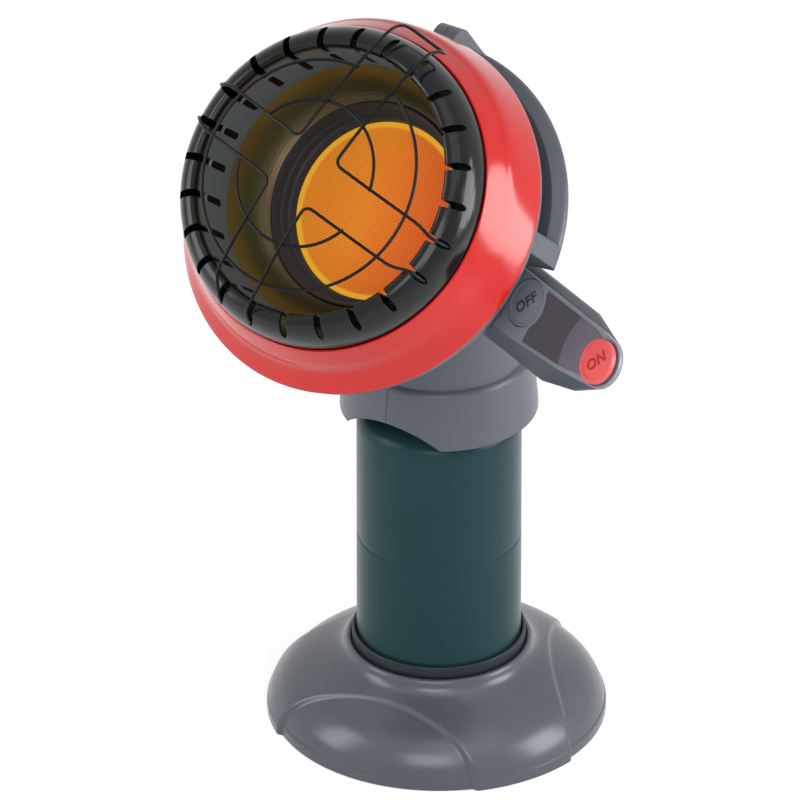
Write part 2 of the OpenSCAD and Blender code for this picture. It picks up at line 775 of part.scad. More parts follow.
module button_guide() {
    bush_r = stem_r + 3;
    color(DARK) panel_frame() difference() {
        union() {
            translate([0, 0, guide_z - guide_t]) linear_extrude(height = guide_t)
                polygon([[-9, -9], [10, -20], [52, -18], [64, -10], [64, 5], [52, 13], [10, 13], [-9, 9]]);
            translate([0, 0, guide_z - off_bush]) cylinder(r = bush_r, h = off_bush, $fn = 48);
            translate([valve_at[0], valve_at[1], guide_z - on_bush]) cylinder(r = bush_r, h = on_bush, $fn = 48);
        }
        translate([0, 0, guide_z - 7]) cylinder(r = stem_r + stem_fit, h = 8);
        translate([valve_at[0], valve_at[1], guide_z - 7]) cylinder(r = stem_r + stem_fit, h = 8);
        for (p = post_spots) translate([p[0], p[1], guide_z - 4]) cylinder(r = 1.1, h = 5, $fn = 24);
    }
}

module panel_screws() {
    color(STEEL) panel_frame() for (p = post_spots) translate([p[0], p[1], 0]) {
        translate([0, 0, guide_z - guide_t - 1]) cylinder(r = 1.05, h = 8, $fn = 24);
        translate([0, 0, guide_z - guide_t - 1.6]) cylinder(r = 2.2, h = 1.6 - touch, $fn = 24);
    }
}

module off_button() {
    color(GREY) panel_frame() {
        difference() {
            translate([0, 0, -6]) cylinder(r = off_r, h = 5.7);
            translate([0, 0, -0.9]) cylinder(r = off_r - 1.6, h = 2);
        }
        translate([0, 0, guide_z - off_bush - 0.2]) cylinder(r = stem_r, h = off_bush + 0.2 - guide_z - 5);
    }
}

leg_top = -5.5;             // upper face of the ON button's leg
leg_t = 2;

module on_button() {
    disc_z = on_travel - 1.4;
    color(RED) panel_frame() {
        difference() {
            translate([button_gap, on_y, disc_z]) cylinder(r = on_r, h = on_proud - disc_z);
            translate([button_gap, on_y, on_proud - 0.8]) cylinder(r = on_r - 2.2, h = 2);
        }
        translate([hub_at[0], hub_at[1], leg_top - leg_t]) cylinder(r = 6, h = disc_z + 1 - leg_top + leg_t);
        translate([valve_at[0], valve_at[1] - 1.8, leg_top - leg_t]) cube([hub_at[0] - valve_at[0], 9, leg_t]);
        translate([valve_at[0], valve_at[1], leg_top - leg_t]) cylinder(r = 6, h = leg_t);
        translate([valve_at[0], valve_at[1], valve_top - 3.5]) cylinder(r = stem_r, h = 3.5 - valve_top + leg_top - 1);
    }
}

module coil(r, wire_r, z0, z1, turns) {
    steps = turns * 14;
    wire([for (i = [0 : steps])
        polar(r, i * 360 / 14, z0 + wire_r + (z1 - z0 - 2 * wire_r) * i / steps)], wire_r, 6);
}

module off_spring() {
    color(STEEL) panel_frame() coil(stem_r + 2, 0.5, guide_z + 0.1, -6.1, 2.5);
}

module on_spring() {
    color(STEEL) panel_frame() translate([valve_at[0], valve_at[1], 0])
        coil(stem_r + 1.3, 0.45, guide_z + 0.1, leg_top - leg_t - 0.1, 1.5);
}

// ---------- gas train in the arm ----------

valve_top = -16.5;
valve_l = 8.6;
valve_r = 6.2;
port_z = valve_top - 5;
valve_port = from_panel([valve_at[0] - valve_r + 0.9, valve_at[1], port_z]);

module valve_body() {
    color(BRASS) panel_frame() translate([valve_at[0], valve_at[1], 0]) difference() {
        union() {
            translate([0, 0, valve_top - valve_l]) cylinder(r = valve_r, h = valve_l);
            translate([-valve_r - 2, 0, port_z]) rotate([0, 90, 0]) cylinder(r = 4.4, h = 5, $fn = 6);
        }
        translate([0, 0, valve_top - 6.6]) cylinder(r = stem_r + stem_fit, h = 8);
        translate([-valve_r - 3, 0, port_z]) rotate([0, 90, 0])
            cylinder(r = tube_r + touch, h = 4, $fn = 32);
    }
}

module supply_tube() {
    up = from_arm([30, 0, deck_z + 12 - panel_z]);
    turn = from_arm([34, 0, -33]);
    far = from_arm([100, 2, -31]);
    under = from_panel([piezo_at[0] + 1, piezo_at[1] - 7, -29.5]);
    corner = from_panel([piezo_at[0] + 10.4, valve_at[1] - 3, -28.4]);
    near = from_panel([valve_at[0] - valve_r - 7.4, valve_at[1], port_z]);
    rise = rounded([outlet_at + [0.4, -0.2, 0], up, turn, far], 8);
    reach = rounded([turn, far, under, corner, near, valve_port], 4);
    path = concat([for (i = [0 : len(rise) - 2]) rise[i]], [for (i = [1 : len(reach) - 1]) reach[i]]);
    color(BRASS) wire(path, tube_r, 12);
}

jet_depth = tile_depth + plenum_l + mixer_l + 7;

module feed_tube() {
    valve = from_panel([valve_at[0] - 0.5, valve_at[1] + valve_r + 0.08, port_z]);
    out = from_panel([valve_at[0] - 1.5, valve_at[1] + valve_r + 2.9, port_z]);
    back = from_panel([46, 8, -20.4]);
    path = [valve, out, back, from_arm([off_reach - 8, 9, -6]), from_arm([84, 7, -13]), from_arm([34, 7, -13]),
            from_head([0, 0, -jet_depth - 14]), from_head([0, 0, -jet_depth - 6.3])];
    color(BRASS) wire(rounded(path, 5), 2.2, 10);
}

module gas_jet() {
    color(BRASS) head_frame() difference() {
        union() {
            translate([0, 0, -jet_depth - 6]) cylinder(r = 5.5, h = 6, $fn = 6);
            translate([0, 0, -jet_depth - eps]) cylinder(r = 4, h = 4);
        }
        translate([0, 0, -jet_depth - 4]) cylinder(r = 0.6, h = 10, $fn = 24);
    }
}

module mixer_tube() {
    back = tile_depth + plenum_l;
    flare = back + mixer_l;
    color(STEEL) head_frame() {
        translate([0, 0, -flare]) rotate_extrude() polygon(strip(concat(
            [[mixer_r, mixer_l - 3], [mixer_r, 10]],
            bez([mixer_r, 8], [mixer_r, 4], [mixer_r + 2, 1], [mixer_r + 5, 0], 6)), -1));
        difference() {
            union() {
                for (s = [-1, 1]) translate([s * (mixer_r + 4.4) - 1, -4, -jet_depth + touch]) cube([2, 8, 11]);
                translate([-mixer_r - 5, -4, -jet_depth + touch]) cube([2 * mixer_r + 10, 8, 2]);
            }
            translate([0, 0, -jet_depth - 1]) cylinder(r = 4 + touch, h = 4);
        }
    }
}

// ---------- burner ----------

module burner_plenum() {
    r = tile_r + 4.7;
    back = tile_depth + plenum_l;
    color(STEEL) head_frame() difference() {
        translate([0, 0, -back]) cylinder(r = r, h = plenum_l - 0.4);
        translate([0, 0, -back + 1]) cylinder(r = r - 1, h = plenum_l);
        translate([0, 0, -back - 1]) cylinder(r = mixer_r + 1 + touch, h = 3);
    }
}

module tile_gasket() {
    color(WHITE) head_frame() tube_ring(tile_r + 3.6, tile_r + touch, -tile_depth - tile_t, -tile_depth - 0.3);
}

module ceramic_tile() {
    color(CERAMIC) head_frame() translate([0, 0, -tile_depth - tile_t]) cylinder(r = tile_r, h = tile_t - 0.3);
}

module burner_bezel() {
    o = reflector_in_r - 0.1;
    d = reflector_depth;
    lip = tile_r - 1.2;
    color(BLACK) head_frame() rotate_extrude() polygon([
        [o, -d + 1.4], [o - 1.2, -d + 1.8], [o - 2.4, -d - 0.6], [o - 2.9, -d - 5], [o - 4.4, -d - 6.4],
        [o - 5, -d - 11], [lip + 1, -d - 12.4], [lip, -tile_depth + 0.1], [lip + 0.6, -tile_depth - 0.2],
        [tile_r + 4.8, -tile_depth - 0.2], [tile_r + 4.8, -tile_depth - 10], [o, -tile_depth - 10]]);
}

reflector_t = 0.8;
reflector_curve = bez([throat_r + 0.6, -throat_depth - touch], [throat_r - 2, -throat_depth - 11],
                      [reflector_in_r + 9, -reflector_depth + 4], [reflector_in_r + 0.4, -reflector_depth], 14);
pilot_turn = -25;           // angle of the pilot round the dish's axis
pilot_r = 69;
pilot_gaps = [-7, 0, 7];    // electrode, pilot tube and thermocouple, side by side

module pilot_place(shift) {
    head_frame() rotate([0, 0, pilot_turn]) translate([pilot_r, shift, 0]) children();
}

module reflector() {
    back = beside(reflector_curve, reflector_t);
    color(STEEL) difference() {
        head_frame() rotate_extrude() polygon(concat(
            [[rim_r - 5, -throat_depth - touch]], reflector_curve,
            [[reflector_in_r, -reflector_depth - 0.4], [reflector_in_r, -tile_depth - 1],
             [reflector_in_r + reflector_t, -tile_depth - 1],
             [reflector_in_r + reflector_t, -reflector_depth - reflector_t]],
            reversed([for (p = back) if (p[0] > reflector_in_r + 1.4 && p[1] < -throat_depth - 1.4) p]),
            [[throat_r + 1.6, -throat_depth - 0.9], [rim_r - 5, -throat_depth - 0.9]]));
        for (s = pilot_gaps) pilot_place(s) translate([0, 0, -60]) cylinder(r = 3, h = 40, $fn = 32);
    }
}

module heat_shield() {
    r = rim_r - 5;
    color(STEEL) difference() {
        head_frame() rotate_extrude() polygon(strip([
            [throat_r + 4, -throat_depth - 1.2], [r, -throat_depth - 1.2], [r, -throat_depth - 14],
            [tile_r + 8.5, -tile_depth - plenum_l - 3], [mixer_r + 2.5, -tile_depth - plenum_l - 5]], -0.8));
        pilot_place(0) translate([0, 0, -100]) cylinder(r = 13, h = 60, $fn = 48);
    }
}

module pilot_bracket() {
    // a plate on the reflector's collar, and the pilot tube that it holds
    color(STEEL) difference() {
        union() {
            intersection() {
                head_frame() rotate([0, 0, pilot_turn]) translate([60, -13, -tile_depth + 2]) cube([17, 26, 1.6]);
                head_frame() tube_ring(77, reflector_in_r + reflector_t + touch, -tile_depth, -tile_depth + 8);
            }
            pilot_place(0) translate([0, 0, -tile_depth - 6]) cylinder(r = 2.5, h = 26, $fn = 32);
        }
        for (s = [pilot_gaps[0], pilot_gaps[2]]) pilot_place(s) translate([0, 0, -tile_depth])
            cylinder(r = 2.4, h = 8, $fn = 32);
        pilot_place(0) translate([0, 0, -tile_depth - 7]) cylinder(r = 1.2, h = 24, $fn = 32);
    }
}

module spark_electrode() {
    color(WHITE) pilot_place(pilot_gaps[0]) {
        translate([0, 0, -tile_depth - 4]) cylinder(r = 2.35, h = 28, $fn = 32);
        run([[0, 0, -38], [0, 0, -28], [-14, 2, -45]], 0.8);
    }
}

module thermocouple() {
    color(STEEL) pilot_place(pilot_gaps[2]) {
        translate([0, 0, -tile_depth - 4]) cylinder(r = 2.35, h = 22, $fn = 32);
        run([[0, 0, -45], [0, 0, -28], [-13, -2, -43]], 1.2);
    }
}

function pilot_point(shift, z) = from_head([
    pilot_r * cos(pilot_turn) - shift * sin(pilot_turn),
    pilot_r * sin(pilot_turn) + shift * cos(pilot_turn), z]);

piezo_at = [33, -3];
piezo_l = 12;

module igniter_lead() {
    root = guide_z - guide_t - piezo_l - 2.4;
    path = [
        pilot_point(pilot_gaps[0], -tile_depth - 4.1), pilot_point(pilot_gaps[0], -86),
        from_arm([54, -6, -12]), from_arm([84, -6, -12]), from_arm([off_reach - 6, 6, -24]),
        from_panel([piezo_at[0] - 10, -4, root - 3]), from_panel([piezo_at[0], piezo_at[1], root - 3]),
        from_panel([piezo_at[0], piezo_at[1], root - touch])];
    color(BLACK) wire(rounded(path, 2.6), 1.5, 10);
}

module thermocouple_lead() {
    base = valve_top - valve_l;
    path = [
        pilot_point(pilot_gaps[2], -tile_depth - 4.1), pilot_point(pilot_gaps[2], -84),
        from_arm([50, 8, -26]), from_arm([84, 8, -26]), from_arm([off_reach - 6, 13, -19]),
        from_panel([30, 2, -29.5]), from_panel([valve_at[0] - 6, 1, base - 2.2]),
        from_panel([valve_at[0] - 2, valve_at[1] + 2, base - 1.9]),
        from_panel([valve_at[0] - 2, valve_at[1] + 2, base - touch])];
    color(BRASS) wire(rounded(path, 3), 1.2, 10);
}

module piezo_igniter() {
    color(BLACK) panel_frame() translate([piezo_at[0], piezo_at[1], guide_z - guide_t]) {
        translate([0, 0, -piezo_l]) cylinder(r = 5, h = piezo_l - touch, $fn = 48);
        translate([0, 0, -piezo_l - 2.4]) cylinder(r = 2, h = 4, $fn = 32);
    }
}

module tip_switch() {
    color(WHITE) panel_frame() translate([20, -5, guide_z - guide_t - 12])
        cylinder(r = 7.5, h = 12 - touch, $fn = 48);
}

// ---------- shell, ring and guard ----------

module red_shell() {
    color(RED) difference() {
        hull() {
            head_frame() {
                translate([0, 0, -0.4]) cylinder(r = rim_r, h = 0.8);
                translate([0, 0, -4]) cylinder(r = rim_r + 1.8, h = 0.6);
                translate([0, 0, -11]) cylinder(r = rim_r + 5, h = 0.6);
                translate([0, 0, -20]) cylinder(r = rim_r + 8.8, h = 0.6);
            }
            rear_frame() cylinder(r = shell_r, h = 1.5);
        }
        hull() {
            head_frame() {
                translate([0, 0, -2]) cylinder(r = rim_r - 1, h = 0.6);
                translate([0, 0, -11]) cylinder(r = rim_r + 5 - shell_wall, h = 0.6);
                translate([0, 0, -20]) cylinder(r = rim_r + 8.8 - shell_wall, h = 0.6);
            }
            rear_frame() translate([0, 0, -0.5]) cylinder(r = shell_r - shell_wall, h = 1.5);
        }
        head_frame() translate([0, 0, -6]) cylinder(r = rim_r - 1.6, h = 20);
    }
}

ring_t = 1.8;
ring_out = bez([rim_r - 1.7, 1], [rim_r - 1.4, 10], [crest_r + 8.5, crest_h - 1], [crest_r, crest_h], 14);
ring_in = bez([crest_r, crest_h], [crest_r - 3, crest_h + 0.6], [crest_r - 4.1, crest_h - 2],
              [crest_r - 4.4, crest_h - 7], 8);
ring_path = concat([[rim_r - 2.2, -6], [rim_r - 2.2, 0]], ring_out, [for (i = [1 : 8]) ring_in[i]],
                   [[throat_r, -throat_depth]]);

module trim_ring() {
    color(BLACK) head_frame() difference() {
        rotate_extrude($fn = 120) polygon(concat(
            ring_path,
            [[throat_r + ring_t, -throat_depth]],
            reversed([for (i = [2 : len(ring_path) - 2]) beside(ring_path, ring_t)[i]]),
            [[rim_r - 2.2 - ring_t, 0], [rim_r - 2.2 - ring_t, -6]]));
        for (i = [0 : slot_count - 1]) rotate([0, 0, slot_turn + i * slot_step]) {
            translate([throat_r - 8, -slot_w / 2, crest_h - 15])
                cube([slot_out_r - throat_r + 8 - slot_w / 2, slot_w, 24]);
            translate([slot_out_r - slot_w / 2, 0, crest_h - 15]) cylinder(r = slot_w / 2, h = 24, $fn = 24);
        }
    }
}

leg_r = 80;                 // radius at which the guard's legs leave its dome
slot_step = 360 / slot_count;
leg_shift = corner_reach * sin(45);     // distance of each leg from the line through the axis

// Angle of the slot nearest to an angle
function slot_near(a) = slot_turn + slot_step * round((a - slot_turn) / slot_step);

// Height of the guard's dome at radius r
function guard_z(r) = guard_h - guard_drop * pow(r / guard_out_r, 2);

// Point at radius r of the leg that leaves the corner at angle turn to one side
function leg_at(turn, side, r) =
    let (t = sqrt(r * r - leg_shift * leg_shift) - leg_shift,
         p = polar(corner_reach, turn, 0) + polar(t, turn + side * 45, 0))
    [p[0], p[1], guard_z(r)];

function leg(turn, side) = [for (r = [38, 60, leg_r]) leg_at(turn, side, r)];

// Leg that ends in a hook at the outer end of the nearest slot
function hooked_leg(turn, side) =
    let (slot = slot_near(turn + side * (45 - asin(leg_shift / leg_r))))
    concat(leg(turn, side), [polar(87.5, slot, crest_h + 5.5), polar(92.3, slot, crest_h - 3),
                             polar(slot_out_r - wire_r - 0.25, slot, crest_h - 11.5)]);

// Half of the loop that holds the guard over the front ring, on one side of the middle
function loop_half(side) =
    let (mid = guard_turn + 45, across = polar(side * leg_shift, mid + 90, 0))
    [for (p = [[91, 31], [99, 26.5], [102.8, 18], [103, 9]]) polar(p[0], mid, p[1]) + across];

function corner_at(turn) = [polar(corner_reach, turn, guard_z(corner_reach))];

// Two legs at a right angle that meet in a rounded corner
module bent_wire(turn) {
    path = concat(reversed(hooked_leg(turn, -1)), corner_at(turn), hooked_leg(turn, 1));
    wire(rounded(path, corner_bend), wire_r, 8);
}

// Two bent wires in one piece, joined by the loop over the front ring
module looped_wire(turn) {
    path = concat(reversed(hooked_leg(turn, -1)), corner_at(turn), leg(turn, 1), loop_half(-1),
                  reversed(loop_half(1)), reversed(leg(turn + 90, -1)), corner_at(turn + 90),
                  hooked_leg(turn + 90, 1));
    wire(rounded(path, corner_bend), wire_r, 8);
}

// An arc of the guard between two angles
module guard_arc(r, a0, a1) {
    steps = ceil((a1 - a0) / 6);
    wire([for (i = [0 : steps]) polar(r, a0 + (a1 - a0) * i / steps, guard_z(r) - 1.3)], wire_r, 8);
}

module wire_guard() {
    lap = 0.8;
    in_gap = asin(leg_shift / guard_in_r) - lap;
    out_gap = asin(leg_shift / guard_out_r) - lap;
    mid = guard_turn + 45;
    color(BLACK) head_frame() {
        looped_wire(guard_turn);
        bent_wire(guard_turn + 180);
        bent_wire(guard_turn + 270);
        // arcs that tie the bent wires together
        guard_arc(guard_in_r, mid - 90 + in_gap, mid + 90 - in_gap);
        guard_arc(guard_in_r, mid + 90 + in_gap, mid + 270 - in_gap);
        guard_arc(guard_out_r, mid + out_gap, mid + 360 - out_gap);
    }
}

// ---------- the part ----------

base_bell();
base_sleeve();
base_pad();
bottle_lower();
bottle_upper();
bottle_collar();
bottle_valve();
bottle_relief();
inlet_seal();
housing_left();
housing_right();
arm_shell();
housing_screws();
red_shell();
trim_ring();
wire_guard();
reflector();
heat_shield();
burner_bezel();
ceramic_tile();
tile_gasket();
burner_plenum();
mixer_tube();
gas_jet();
regulator_body();
regulator_cap();
depress_pin();
regulator_screws();
supply_tube();
valve_body();
feed_tube();
pilot_bracket();
spark_electrode();
thermocouple();
igniter_lead();
thermocouple_lead();
piezo_igniter();
tip_switch();
control_panel();
label_plate();
button_guide();
panel_screws();
off_button();
on_button();
off_spring();
on_spring();
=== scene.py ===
"""Dresses a portable propane heater: its shaped pieces, finishes, stage, lights and camera."""
from __future__ import annotations

import logging
import math
from dataclasses import dataclass, field, replace
from enum import Enum
from typing import Any, Callable, Sequence

import bpy
from mathutils import Matrix, Vector


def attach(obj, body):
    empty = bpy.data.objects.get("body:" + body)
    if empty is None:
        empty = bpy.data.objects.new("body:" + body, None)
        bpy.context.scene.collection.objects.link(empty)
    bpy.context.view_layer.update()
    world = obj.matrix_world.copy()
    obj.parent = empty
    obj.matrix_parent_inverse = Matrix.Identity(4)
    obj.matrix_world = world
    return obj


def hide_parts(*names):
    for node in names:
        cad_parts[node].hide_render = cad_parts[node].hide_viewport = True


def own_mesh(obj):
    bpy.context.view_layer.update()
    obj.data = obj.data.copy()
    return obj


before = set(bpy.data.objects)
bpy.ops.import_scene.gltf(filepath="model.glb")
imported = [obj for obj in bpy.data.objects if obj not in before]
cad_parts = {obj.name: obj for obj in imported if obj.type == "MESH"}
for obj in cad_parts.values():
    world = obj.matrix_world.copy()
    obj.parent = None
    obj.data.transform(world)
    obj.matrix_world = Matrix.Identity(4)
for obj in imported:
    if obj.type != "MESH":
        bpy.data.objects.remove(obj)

log = logging.getLogger("heater")
MM = 0.001
Point = tuple[float, float]
Color = tuple[float, float, float, float]
Socket = bpy.types.NodeSocket


def moved(x: float, y: float, z: float, turn: float = 0.0, axis: str = "X") -> Matrix:
    """Returns a shift in millimetres followed by a turn in degrees."""
    turned = Matrix.Rotation(math.radians(turn), 4, axis)
    return Matrix.Translation(Vector((x, y, z)) * MM) @ turned


class Place(Enum):
    """Frames that the pieces are shaped in, each with z out of its main face."""

    FLOOR = Matrix.Identity(4)
    HEAD = moved(0, -112.5, 413, 51)
    REAR = HEAD @ moved(0, -3.7, -38.9, -5.1)
    ARM = moved(0, 0, 340.6, -24.8, "Z")
    PANEL = ARM @ moved(114.5, -12.2, 0, 56.6)


def carried(point: Vector, source: Place, target: Place) -> Vector:
    """Returns a point of one frame in another, in millimetres."""
    return target.value.inverted() @ source.value @ (point * MM) / MM


# ---------- shapes ----------


def even(low: float, high: float, steps: int) -> list[float]:
    """Returns values at equal steps from low to high, both included."""
    return [low + (high - low) * i / steps for i in range(steps + 1)]


def polar(r: float, angle: float, z: float) -> Vector:
    """Returns the point at radius r, an angle in degrees, and height z."""
    a = math.radians(angle)
    return Vector((r * math.cos(a), r * math.sin(a), z))


def arc(cx: float, cy: float, r: float, start: float, end: float, steps: int) -> list[Point]:
    """Returns points of an arc about (cx, cy), from one angle in degrees to another."""
    angles = [math.radians(a) for a in even(start, end, steps)]
    return [(cx + r * math.cos(a), cy + r * math.sin(a)) for a in angles]


def angle_at(cy: float, r: float, y: float, side: int) -> float:
    """Returns the angle in degrees at which a circle meets a height, right (1) or left (-1)."""
    a = math.degrees(math.asin(max(-1.0, min(1.0, (y - cy) / r))))
    return a if side > 0 else 180 - a


def bezier(a: Point, b: Point, c: Point, d: Point, steps: int) -> list[Point]:
    """Draws a cubic curve.

    Args:
        a: Its start.
        b: Point that it heads for at its start.
        c: Point that it comes from at its end.
        d: Its end.
        steps: Number of steps along it.

    Returns:
        The curve's points.
    """
    out = []
    for t in even(0, 1, steps):
        u = 1 - t
        w = (u * u * u, 3 * u * u * t, 3 * u * t * t, t * t * t)
        out.append(tuple(sum(k * p[n] for k, p in zip(w, (a, b, c, d))) for n in (0, 1)))
    return out


def beside(path: Sequence[Point], shift: float) -> list[Point]:
    """Draws a line beside another.

    Args:
        path: Points of the other line.
        shift: Distance of the new line, to the left.

    Returns:
        The new line's points.
    """
    out = []
    for i, p in enumerate(path):
        a, b = path[max(i - 1, 0)], path[min(i + 1, len(path) - 1)]
        t = Vector((b[0] - a[0], b[1] - a[1])).normalized()
        out.append((p[0] - t.y * shift, p[1] + t.x * shift))
    return out


def rounded(path: Sequence[Vector], reach: float, steps: int) -> list[Vector]:
    """Rounds the inner corners of a path.

    Args:
        path: Its points.
        reach: Length that a bend takes on both sides of its corner.
        steps: Number of steps in a bend.

    Returns:
        Points of the rounded path.
    """
    share = 2.1  # two bends fit on one side, with a little left between them
    out = [path[0]]
    for before, corner, after in zip(path, path[1:], path[2:]):
        a, b = before - corner, after - corner
        m = min(reach, a.length / share, b.length / share)
        p, q = corner + a.normalized() * m, corner + b.normalized() * m
        out += [(1 - t) ** 2 * p + 2 * t * (1 - t) * corner + t * t * q for t in even(0, 1, steps)]
    return out + [path[-1]]


def spline(points: Sequence[Vector], steps: int) -> list[Vector]:
    """Draws a smooth curve through points.

    Args:
        points: What it passes through.
        steps: Number of steps between each two.

    Returns:
        The curve's points.
    """
    out = []
    last = len(points) - 1
    for i in range(last):
        p0, p1 = points[max(i - 1, 0)], points[i]
        p2, p3 = points[i + 1], points[min(i + 2, last)]
        for j in range(steps):
            t = j / steps
            out.append(0.5 * (2 * p1 + (p2 - p0) * t + (2 * p0 - 5 * p1 + 4 * p2 - p3) * t * t
                              + (3 * p1 - 3 * p2 + p3 - p0) * t ** 3))
    return out + [points[last]]


@dataclass
class Form:
    """A mesh in the making, in millimetres in one of the frames.

    Args:
        verts: Its corners.
        faces: Its faces, as indices of corners.
    """

    verts: list[Vector] = field(default_factory=list)
    faces: list[tuple[int, ...]] = field(default_factory=list)

    def sheet(self, rows: Sequence[Sequence[Vector]], wrap_rows: bool = False,
              wrap_cols: bool = False) -> Form:
        """Adds a sheet of quads.

        Args:
            rows: Rows of points, all of one length.
            wrap_rows: Whether the last row joins the first.
            wrap_cols: Whether each row is a closed ring.

        Returns:
            This form.
        """
        base, n, m = len(self.verts), len(rows), len(rows[0])
        for row in rows:
            self.verts.extend(row)
        for i in range(n if wrap_rows else n - 1):
            for j in range(m if wrap_cols else m - 1):
                a, b = i * m, (i + 1) % n * m
                k = (j + 1) % m
                self.faces.append((base + a + j, base + a + k, base + b + k, base + b + j))
        return self

    def bar(self, rows: Sequence[Sequence[Vector]], flip: bool = False) -> Form:
        """Adds a sheet of rings with a face over its first and its last ring.

        Args:
            rows: The rings, all of one length.
            flip: Whether the rings run the other way round.

        Returns:
            This form.
        """
        base = len(self.verts)
        self.sheet(rows, wrap_cols=True)
        end, sides = len(self.verts), len(rows[0])
        ends = [range(base, base + sides), range(end - sides, end)]
        front, back = reversed(ends) if flip else ends
        self.faces += [tuple(front), tuple(reversed(back))]
        return self

    def lathe(self, profile: Sequence[Point], steps: int = 192, closed: bool = True,
              shape: Callable[[float, int], Point] | None = None) -> Form:
        """Adds a turned surface about z.

        Args:
            profile: Points as (radius, height).
            steps: Number of steps round the axis.
            closed: Whether the profile's ends are joined.
            shape: Gives the point for an angle in degrees and a profile index, where it varies.

        Returns:
            This form.
        """
        rows = []
        for i in range(steps):
            a = 360 * i / steps
            points = [shape(a, k) for k in range(len(profile))] if shape else profile
            rows.append([polar(p[0], a, p[1]) for p in points])
        return self.sheet(rows, wrap_rows=True, wrap_cols=closed)

    def tube(self, path: Sequence[Vector], radius: float, sides: int = 14) -> Form:
        """Adds a round wire with domed ends.

        Args:
            path: Points along its middle.
            radius: Its radius.
            sides: Number of steps round it.

        Returns:
            This form.
        """
        dome = ((0.9, 0.1), (0.6, 0.75))  # height and width of an end's rings, from its tip
        last = len(path) - 1
        side = Vector((0.31, 0.17, 1))
        rows = []
        for i, p in enumerate(path):
            t = (path[min(i + 1, last)] - path[max(i - 1, 0)]).normalized()
            side = (side - side.dot(t) * t).normalized()
            other = t.cross(side)
            ring = [math.cos(math.tau * j / sides) * side + math.sin(math.tau * j / sides) * other
                    for j in range(sides)]
            if i == 0:
                rows += [[p - t * radius * h + d * radius * w for d in ring] for h, w in dome]
            rows.append([p + d * radius for d in ring])
            if i == last:
                rows += [[p + t * radius * h + d * radius * w for d in ring] for h, w in dome[::-1]]
        return self.bar(rows)

    def build(self, name: str, place: Place, finish: Finish, body: str, sharp: float = 40.0,
              stands_for: Sequence[str] = ()) -> bpy.types.Object:
        """Makes the object, with its finish, and lets it ride on a body.

        Args:
            name: Name of the piece.
            place: Frame that the form is drawn in.
            finish: Finish of the piece.
            body: Body that carries it.
            sharp: Angle in degrees above which an edge stays crisp.
            stands_for: Frame nodes that the piece replaces.

        Returns:
            The new object.
        """
        mesh = bpy.data.meshes.new(name)
        mesh.from_pydata([place.value @ (v * MM) for v in self.verts], [], self.faces)
        mesh.validate()
        mesh.update()
        mesh.polygons.foreach_set("use_smooth", [True] * len(mesh.polygons))
        mesh.set_sharp_from_angle(angle=math.radians(sharp))
        return add_piece(name, mesh, finish, body, stands_for)


def add_piece(name: str, mesh: bpy.types.Mesh, finish: Finish, body: str,
              stands_for: Sequence[str] = ()) -> bpy.types.Object:
    """Links a mesh as a piece of the object and declares what it rides on and replaces.

    Args:
        name: Name of the piece.
        mesh: Its mesh, in metres.
        finish: Its finish.
        body: Body that carries it.
        stands_for: Frame nodes that it replaces.

    Returns:
        The new object.
    """
    mesh.materials.append(finish.material())
    obj = bpy.data.objects.new(name, mesh)
    bpy.context.scene.collection.objects.link(obj)
    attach(obj, body)
    if stands_for:
        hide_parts(*stands_for)
    log.info("%s: %d faces on %s", name, len(mesh.polygons), body)
    return obj


# ---------- shader helpers ----------

BEVEL_SAMPLES = 4


def linear(value: float) -> float:
    """Returns the linear share of a screen value from 0 to 255."""
    value /= 255
    return value / 12.92 if value <= 0.04045 else ((value + 0.055) / 1.055) ** 2.4


def srgb(r: int, g: int, b: int) -> Color:
    """Returns the linear colour of screen values from 0 to 255."""
    return linear(r), linear(g), linear(b), 1.0


